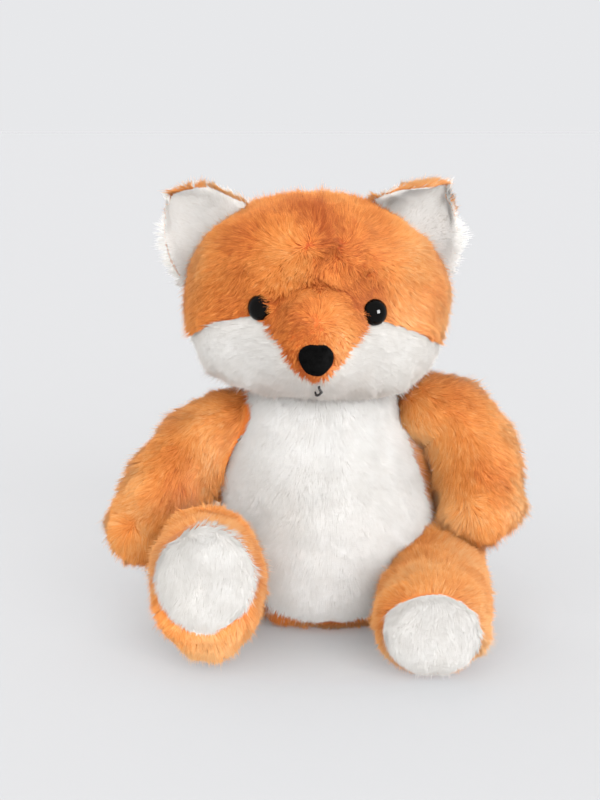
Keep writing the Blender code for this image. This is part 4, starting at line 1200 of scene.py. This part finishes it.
def make_head():
    columns, rows = 300, 170
    turn = math.tau * np.arange(columns) / columns - math.pi
    azimuth = turn - SNOUT_COLUMN_SHARE * np.sin(turn)
    share = np.linspace(-0.997, 0.997, rows)
    elevation = math.pi / 2 * (0.8 * share + 0.2 * share ** 3)
    local = head_local(azimuth[None, :], elevation[:, None], SKIN_DEPTH)
    grid = head_world(local)
    whole = Skin(grid, grid - HEAD_CENTRE, columns_closed=True)
    place, here = local.reshape(-1, 3), whole.normals @ HEAD_TURN
    whorl = oval(place, 0.036, 0.019, 0.012) * (place[:, 1] < 0)
    whole.nap = head_nap(place, here, whorl) @ HEAD_TURN.T
    head_pile(whole, place, here, whorl)
    whole.lump("head")
    whole.groove(head_seam(place), mm(0.9))
    for axes, origin in EYE_FRAMES.values():
        eye_hollow(whole, axes, origin)
    middles = whole.middles()
    panel = head_panel((middles - HEAD_CENTRE) @ HEAD_TURN)
    opening = under_button(middles) | in_ball(NECK, DOME_RADIUS + NECK_GUSSET)(middles)
    for number, name in enumerate(HEAD_PANELS):
        skin = whole.cut((panel == number) & ~opening)
        white = name.startswith("cheek")
        if white:
            skin.lift *= 0.65
            across = ((skin.points - HEAD_CENTRE) @ HEAD_TURN)[:, 0] / HEAD_HALF_WIDTH
            # Painted shade: both cheeks a little darker, the right cheek most, where the key light falls
            # strongly
            skin.shade = skin.shade - 0.08 - 0.30 * clamp(across * 2)
        fur(skin, f"{name}_fur", "head", name, on_panel(number), white)


def limb_skin(limb, half, first=0.0, last=None, columns=46):
    """One half of a limb, its grid, and the ways forward and outward."""
    centres, across, up, forward = limb.rings(SKIN_DEPTH, first, last)
    angles = half * np.linspace(0, math.pi, columns)
    ring = across[:, None] * np.cos(angles)[None, :, None]
    grid = centres[:, None] + ring + up[:, None] * np.sin(angles)[None, :, None]
    radial = grid - centres[:, None]
    return Skin(grid, radial), grid, np.repeat(forward, columns, axis=0), unit(radial.reshape(-1, 3))


def make_limb(name, kind, parts):
    limb = LIMBS[name]
    forward_share, down_share, out_share = LIMB_FLOWS[kind]
    for part, half in parts:
        last = TAIL_TIP_FROM if kind == "tail" else None
        skin, grid, ahead, radial = limb_skin(limb, half, last=last)
        skin.comb(forward_share * ahead + down_share * DOWN + out_share * radial)
        skin.coat(kind)
        skin.lump(kind, len(name) + half)
        inner = clamp(radial[:, 0] * TO_BODY.get(name, 0.0))
        skin.sink(-INNER_SWELL * inner)
        skin.length += INNER_LENGTH * inner
        skin.groove(edge_distance(grid), mm(0.8), 0.0025)
        if name in DENTS:
            skin.dent(*DENTS[name])
        middles = skin.middles()
        in_socket = in_ball(limb.start, limb.ball * 1.002)
        skin.keep(~in_body(middles, 0.0004) | in_socket(middles))
        bare = outside(lambda p: in_body(p, NEAR_BODY), lambda p: in_head(p, 0.001))
        fur(skin, f"{name}_{part}_fur", name, f"{name}_{part}", bare)


def make_sole(name):
    limb = LIMBS[name]
    centres, acrosses, ups, _ = limb.rings(0.0)
    centre, across, up, normal = centres[-1], acrosses[-1], ups[-1], limb.end_normal
    angles = around(96)[:, None]
    rows = []
    for share in np.linspace(0.01, 1, 30):
        rise = math.sqrt(max(1 - share ** 2.6, 0))
        middle = centre + normal * (GAP + (COVER + SOLE_DOME) * rise - mm(1.6))
        ring = (across * np.cos(angles) + up * np.sin(angles)) * share * SOLE_SHARES[name]
        rows.append(middle + ring)
    grid = np.array(rows)
    skin = Skin(grid, np.broadcast_to(normal, grid.shape), columns_closed=True)
    off = skin.points - centre
    radial = off - dot(off, normal[None, :])[:, None] * normal
    reach = np.linalg.norm(radial, axis=1) / np.linalg.norm(across)
    upper = clamp(dot(unit(radial), -DOWN[None, :]))
    # The pile falls, flares at the rim and turns sideways where the two would meet head-on
    aside = 0.9 * upper * bell(reach - 0.93, 0.10)
    skin.comb((2.0 * reach ** 11)[:, None] * unit(radial) + DOWN + aside[:, None] * unit(across))
    skin.coat("sole")
    skin.length += mm(1.2) * reach ** 4
    skin.lift *= 0.70
    # Painted shade: the whole sole darker against the strong front light, and more near the top rim
    # where the turning pile catches it
    skin.shade -= 0.10 + 0.14 * aside
    skin.lump("sole")
    skin.seam = (1 - reach) * np.linalg.norm(across) + mm(1)
    growth = CALM | {"spread": 0.22}
    fur(skin, f"{name}_sole_fur", name, f"{name}_sole", outside(), True, 1.15, growth)


def make_tail_tip():
    upper, lower = (
        limb_skin(LIMBS["tail"], half, first=TAIL_TIP_FROM, columns=49)[1] for half in (1, -1)
    )
    grid = np.concatenate((upper[:, :-1], lower[:, :0:-1]), axis=1)
    centre = grid.mean(axis=1, keepdims=True)
    skin = Skin(grid, grid - centre, columns_closed=True)
    forward = np.gradient(centre[:, 0], axis=0)
    forward[-3:] = forward[-4]
    skin.comb(np.repeat(unit(forward), grid.shape[1], axis=0))
    skin.coat("tail_tip")
    fur(skin, "tail_tip_fur", "tail", "tail_tip", outside(), True, relief=0.35)


# Ears

def ear_frame(name):
    side, low_angle, high_angle = EARS[name][:3]
    ends = []
    for angle in (low_angle, high_angle):
        direction = np.array((side * math.cos(angle), 0.0, math.sin(angle)))
        ends.append(direction * (head_radius(direction) - EAR_SINK))
    low, high = ends
    down = unit(low - high)
    out = np.array((-down[2] * side, 0, down[0] * side))
    forward = np.array((0.0, -1.0, 0.0))
    axes = HEAD_TURN @ np.stack((down, out, forward), axis=-1)
    return axes, head_world((low + high) / 2 + (0, CROWN_SEAM_Y, 0))


def ear_grid(axes, origin, name, layer, rows=56, columns=54):
    """One layer of an ear: its grid, and the distance to the rim and the place across it.

    layer is its depth at the middle; there is none at the rim.
    """
    lean, curl, fold = EARS[name][3:]
    share = 0.975 * np.sin(np.linspace(0, math.pi / 2, rows))
    near = np.interp(share, EAR_SIDE_SHARES[:, 0], EAR_SIDE_SHARES[:, 1])[:, None]
    far = np.interp(share, EAR_SIDE_SHARES[:, 0], EAR_SIDE_SHARES[:, 2])[:, None]
    u = np.sin(np.linspace(-math.pi / 2, math.pi / 2, columns))[None, :]
    s = EAR_HALF_WIDTH * ((near + far) / 2 + (far - near) / 2 * u)
    height = np.broadcast_to(share[:, None], s.shape)
    to_side = (1 - np.abs(u)) * EAR_HALF_WIDTH * (far - near) / 2
    rim = np.minimum(to_side, (share[-1] - height) * EAR_HEIGHT)
    depth = layer * (1 - np.exp(-(rim / mm(1.8))))
    folded = clamp(-u - EAR_FOLD_FROM_SHARE) / (1 - EAR_FOLD_FROM_SHARE)
    bow = EAR_CUP * u ** 2 + fold * folded ** EAR_FOLD_POWER * clamp((far - near) / 1.1)
    bow = bow * np.minimum(height / EAR_CUP_RISE_SHARE, 1) - depth
    steps = 16
    y, z = np.zeros(s.shape), np.zeros(s.shape)
    for k in range(steps):
        turn = lean + curl * ((k + 0.5) / steps * height) ** 2
        y += EAR_HEIGHT * height / steps * np.cos(turn)
        z += EAR_HEIGHT * height / steps * np.sin(turn)
    tilt = lean + curl * height ** 2
    local = np.stack((s, y - bow * np.sin(tilt), z + bow * np.cos(tilt)), axis=-1)
    local = np.concatenate((local[:1] - (0, EAR_ROOT_DROP, 0), local))
    rim, across = (
        np.concatenate((v[:1], v)).reshape(-1) for v in (rim, np.broadcast_to(u, s.shape))
    )
    return origin + local @ axes.T, rim, across


def make_ear(name):
    axes, origin = ear_frame(name)
    for part, layer, sign in (("lining", -EAR_LAYER * 0.55, 1), ("back", EAR_LAYER * 0.55, -1)):
        white = part == "lining"
        grid, rim, across = ear_grid(axes, origin, name, layer)
        skin = Skin(grid, np.broadcast_to(axes[:, 2] * sign, grid.shape))
        skin.comb(unit(skin.points - (origin - 0.010 * axes[:, 1])))
        skin.lump("ear")
        skin.coat("ear")
        edge = bell(rim, mm(3))
        rise = 0.35 + clamp(dot(skin.points - origin, axes[:, 1][None, :]) / EAR_HEIGHT)
        sideways = across * np.abs(across)
        outward = unit(rise[:, None] * axes[:, 1] + sideways[:, None] * axes[:, 0])
        skin.comb(skin.nap + 0.8 * edge[:, None] * outward)
        crown_side, outer_side = clamp(-across * 1.6), clamp(across * 1.6)
        if white:
            forward = 0.45 - 0.25 * outer_side
            tip = clamp((skin.chart[:, 1] - 0.75) / 0.2)
            # Painted light: the lining lighter away from its root, against the shade of the cup and the
            # folded rim
            skin.shade += 0.16 - 0.16 * bell(skin.chart[:, 1], 0.35)
            skin.lift -= 0.10 * edge
            skin.length -= edge * (mm(1.4) * crown_side + mm(0.6) * tip - mm(1.6) * outer_side)
        else:
            forward = 0.10 + 0.25 * crown_side - 0.55 * outer_side
            # Painted light: the back of the ear lighter, most at the rim, where it faces away from the
            # lamps
            skin.shade += 0.22 + 0.14 * edge
            skin.lift -= 0.30 * edge
            skin.length += mm(3.2) * edge * crown_side - mm(4.3) * bell(rim, mm(6)) * outer_side
        facing = outward + forward[:, None] * axes[:, 2]
        rounded = skin.normals * (1 - 0.5 * edge)[:, None] + 0.6 * edge[:, None] * facing
        skin.normals = unit(rounded)
        skin.seam = rim + mm(2)
        fur(
            skin, f"ear_{name}_{part}_fur", f"ear_{name}", f"ear_{name}_{part}",
            outside(lambda p: in_head(p, mm(1.0))), white, hem=0.0003,
            tipward=0.15 if white else 1.1,
        )


# Buttons, nose, stitch and label

def placed(frame_at, local):
    axes, origin = frame_at
    return origin + local @ axes.T


def smooth_object(name, grid, material, closed=True, cap=False):
    """A plain mesh from a grid of points, rows of closed rings unless told otherwise."""
    rows, columns = grid.shape[:2]
    faces = []
    for r in range(rows - 1):
        for c in range(columns if closed else columns - 1):
            d = (c + 1) % columns
            here, below = r * columns, (r + 1) * columns
            faces.append((here + c, here + d, below + d, below + c))
    if cap:
        faces.append(tuple(range(columns))[::-1])
        faces.append(tuple(range((rows - 1) * columns, rows * columns)))
    mesh = bpy.data.meshes.new(name)
    mesh.from_pydata(grid.reshape(-1, 3).tolist(), [], faces)
    mesh.shade_smooth()
    mesh.materials.append(material)
    return link(name, mesh)


def turned(frame_at, profile, steps=56):
    """Rings round a frame's out axis through the profile's radii and heights."""
    angles = math.tau * np.arange(steps) / steps
    return np.array([
        placed(frame_at, np.stack((
            radius * np.cos(angles), radius * np.sin(angles), 0 * angles + height,
        ), axis=-1))
        for radius, height in profile
    ])


def make_eye(name):
    profile = [
        (SHANK_RADIUS, -SHANK_LENGTH), (SHANK_RADIUS, -0.0004),
        (EYE_RADIUS * BUTTON_SHARE, -0.0003), (EYE_RADIUS, 0.0004),
    ]
    for angle in np.radians(np.linspace(8, 88, 18)):
        profile.append((EYE_RADIUS * math.cos(angle), EYE_DOME * math.sin(angle)))
    profile.append((0.00003, EYE_DOME))
    rings = turned(EYE_FRAMES[name], profile)
    obj = smooth_object(f"eye_{name}_button", rings, EYE_BLACK, cap=True)
    dress(obj, "head", f"eye_{name}", slot="eye_black")


def make_nose():
    angles = math.tau * np.arange(96) / 96
    up = np.sin(angles)
    widest = np.sign(np.cos(angles)) * np.abs(np.cos(angles)) ** NOSE_ROUNDING_POWER
    wide = NOSE_HALF_WIDTH * (1 - NOSE_TAPER_SHARE + NOSE_TAPER_SHARE * up) * widest
    rows = []
    for rise in np.sin(np.linspace(0, math.pi / 2, 26)):
        share = float(np.interp(rise, NOSE_DOME_SHARES[:, 1], NOSE_DOME_SHARES[:, 0]))
        if rise > 0.52:
            over = (rise - 0.52) / 0.48
            share = 0.97 * math.sqrt(max(1 - over ** 2.2, 0.0004))
        ring = np.stack((
            wide * share, NOSE_HALF_HEIGHT * up * share, 0 * up + NOSE_DEPTH * rise,
        ), axis=-1)
        rows.append(placed(NOSE_FRAME, ring))
    grid = np.array(rows)
    skin = Skin(grid, grid - NOSE_FRAME[1], columns_closed=True)
    skin.lump("nose")
    skin.comb(wave_rows(skin.points, 0.002, 33))
    skin.coat("nose")
    skin.lift += 0.4
    grown = grow(skin, PILE_DENSITY * 10, outside(), clump=0.2, spread=0.8)
    obj = piece("nose_flocked", skin, BLACK_FLOCK, grown, width=FLOCK_WIDTH, hem=0.002)
    dress(obj, "head", "nose", slot="nose_black")


def make_stitch():
    """Two plies of black thread in short stitches, standing a little out of the pile."""
    steps, sides = 60, 10
    t = np.linspace(0, 1, steps)
    elevation = np.radians(-22.0 - 9.0 * t)
    surface = head_world(head_local(0.03 + 0.022 * np.sin(t * 4.0), elevation, -mm(1.2)))
    out = unit(surface - HEAD_CENTRE)
    rise = mm(1.0) * np.abs(np.sin(t * math.pi * 2))
    rise = rise - mm(1.4) * (t > 0.985) - mm(1.4) * (t < 0.015)
    surface += out * rise[:, None]
    along = unit(np.gradient(surface, axis=0))
    across = unit(np.cross(along, out))
    lift = np.cross(across, along)
    angles = math.tau * np.arange(sides) / sides
    ring = across[:, None] * np.cos(angles)[None, :, None]
    ring = ring + lift[:, None] * np.sin(angles)[None, :, None]
    for name, ply, nodes in (("thread", 0.0, ("mouth_stitch",)), ("ply", math.pi, ())):
        turn = t * 34 + ply
        line = across * np.cos(turn)[:, None] + lift * np.sin(turn)[:, None]
        line = surface + mm(0.26) * line
        grid = line[:, None] + mm(0.40) * ring
        obj = smooth_object(f"mouth_stitch_{name}", grid, THREAD, cap=True)
        dress(obj, "head", *nodes, slot="black_thread")


def make_label():
    start = float(belly_edge(np.array(LABEL_Z)))
    sweep = LABEL_LENGTH / float(body_radius(np.array(LABEL_Z)))
    share = np.linspace(0, 1, 36)
    rows = []
    for w in np.linspace(-0.5, 0.5, 14):
        curl = mm(2.0) * np.sin(share * math.pi * 0.6) + mm(0.5) * share * math.sin(w * 6)
        height = np.full(share.shape, LABEL_Z + w * LABEL_WIDTH)
        rows.append(body_point(-start - sweep * share, height, -curl - mm(0.8)))
    top = np.array(rows)
    normal = unit(np.cross(np.gradient(top, axis=0), np.gradient(top, axis=1)))
    bottom = top + normal * 0.00035
    grid = np.concatenate((top, bottom[::-1], top[:1]), axis=0)
    obj = smooth_object("care_label_ribbon", grid, SATIN, closed=False)
    dress(obj, "torso", "care_label", slot="label_satin")


def keep_cad():
    """The fibre fill and the washers stay as they are, under their own materials."""
    for name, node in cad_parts.items():
        material = FIBRE if name.endswith("_stuffing") else WASHER if name.endswith("washer") else None
        if material is not None:
            node.data.materials.clear()
            node.data.materials.append(material)


def make_pieces():
    make_body()
    make_seat()
    make_neck()
    make_head()
    for side in ("left", "right"):
        make_limb(f"arm_{side}", "arm", (("front", 1), ("back", -1)))
        make_limb(f"leg_{side}", "leg", (("upper", 1), ("lower", -1)))
        make_sole(f"leg_{side}")
        make_ear(side)
        make_eye(side)
    make_limb("tail", "tail", (("upper", 1), ("lower", -1)))
    make_tail_tip()
    make_nose()
    make_stitch()
    make_label()
    keep_cad()


# Studio

def make_camera():
    camera = bpy.data.cameras.new("camera")
    camera.lens, camera.sensor_width = CAMERA_LENS, CAMERA_SENSOR
    camera.clip_start, camera.clip_end = CAMERA_CLIP
    obj = link("camera", camera)
    back = np.array((0, math.cos(CAMERA_ELEVATION), -math.sin(CAMERA_ELEVATION)))
    obj.location = CAMERA_AIM - CAMERA_DISTANCE * back
    obj.rotation_euler = (math.pi / 2 - CAMERA_ELEVATION, 0, 0)
    bpy.context.scene.camera = obj


def make_world():
    """Paper behind the fox and in the gloss, and a soft sky that lights it."""
    world = bpy.data.worlds.new("studio")
    bpy.context.scene.world = world
    world.use_nodes = True
    tree = world.node_tree
    tree.nodes.clear()
    out = add(tree, "ShaderNodeOutputWorld")
    seen, lit = add(tree, "ShaderNodeBackground"), add(tree, "ShaderNodeBackground")
    seen.inputs["Color"].default_value = (*PAPER, 1)
    lit.inputs["Color"].default_value = (*SKY_COLOUR, 1)
    lit.inputs["Strength"].default_value = SKY_POWER
    path = add(tree, "ShaderNodeLightPath")
    mix = add(tree, "ShaderNodeMixShader")
    either = path.outputs["Is Camera Ray"]
    for ray in ("Is Glossy Ray", "Is Transmission Ray"):
        most = add(tree, "ShaderNodeMath", operation="MAXIMUM")
        tree.links.new(either, most.inputs[0])
        tree.links.new(path.outputs[ray], most.inputs[1])
        either = most.outputs["Value"]
    tree.links.new(either, mix.inputs["Fac"])
    tree.links.new(lit.outputs["Background"], mix.inputs[1])
    tree.links.new(seen.outputs["Background"], mix.inputs[2])
    tree.links.new(mix.outputs["Shader"], out.inputs["Surface"])


def lamp(name, kind, place, power, **settings):
    """A lamp at a place, or from the direction of it, turned to the fox."""
    light = bpy.data.lights.new(name, kind)
    light.energy = power
    for key, value in settings.items():
        setattr(light, key, value)
    obj = link(name, light)
    obj.location = place
    way = LAMP_AIM - np.array(place)
    tilt = math.atan2(math.hypot(way[0], way[1]), -way[2])
    obj.rotation_euler = (tilt, 0, math.atan2(way[1], way[0]) - math.pi / 2)
    obj.visible_glossy = kind == "AREA"
    obj.visible_diffuse = kind == "SUN"


def make_floor():
    """Pale paper that keeps most of the shadow near the fox and grows see-through with distance onto the
    flat paper behind, painted light that lightens the shadow farther out; it shows no edge.
    """
    r = FLOOR_REACH
    mesh = bpy.data.meshes.new("floor")
    mesh.from_pydata([(-r, -r, 0), (r, -r, 0), (r, r, 0), (-r, r, 0)], [], [(0, 1, 2, 3)])
    material, tree, shader = nodes_of("floor_paper")
    shader.inputs["Roughness"].default_value = 0.95
    shader.inputs["Specular IOR Level"].default_value = 0.0
    where = add(tree, "ShaderNodeTexCoord")
    far = add(tree, "ShaderNodeVectorMath", operation="LENGTH")
    tree.links.new(where.outputs["Object"], far.inputs[0])
    fade = ramp(tree, far.outputs["Value"], [(reach, grey(share)) for reach, share in FLOOR_FADE])
    colours = zip(FLOOR_COLOUR_SPAN, (FLOOR_COLOUR, FAR_FLOOR_COLOUR))
    paper = ramp(tree, far.outputs["Value"], tuple(colours))
    grain = ramp(tree, noise(tree, 6.0), ((0.3, grey(0.998)), (0.7, grey(1.0))))
    tree.links.new(multiply(tree, paper, grain), shader.inputs["Base Color"])
    clear = add(tree, "ShaderNodeBsdfTransparent")
    blend = add(tree, "ShaderNodeMixShader")
    tree.links.new(fade, blend.inputs["Fac"])
    tree.links.new(shader.outputs["BSDF"], blend.inputs[1])
    tree.links.new(clear.outputs["BSDF"], blend.inputs[2])
    tree.links.new(blend.outputs["Shader"], tree.nodes["Material Output"].inputs["Surface"])
    mesh.materials.append(material)
    link("floor", mesh)


def make_studio():
    bpy.context.scene.view_settings.view_transform = "Standard"
    make_camera()
    make_world()
    for name, (way, power, softness) in SUNS.items():
        lamp(name, "SUN", way, power, angle=softness)
    lamp("glint", "AREA", GLINT_PLACE, GLINT_POWER, shape="SQUARE", size=GLINT_SIZE)
    make_floor()


make_pieces()
make_studio()
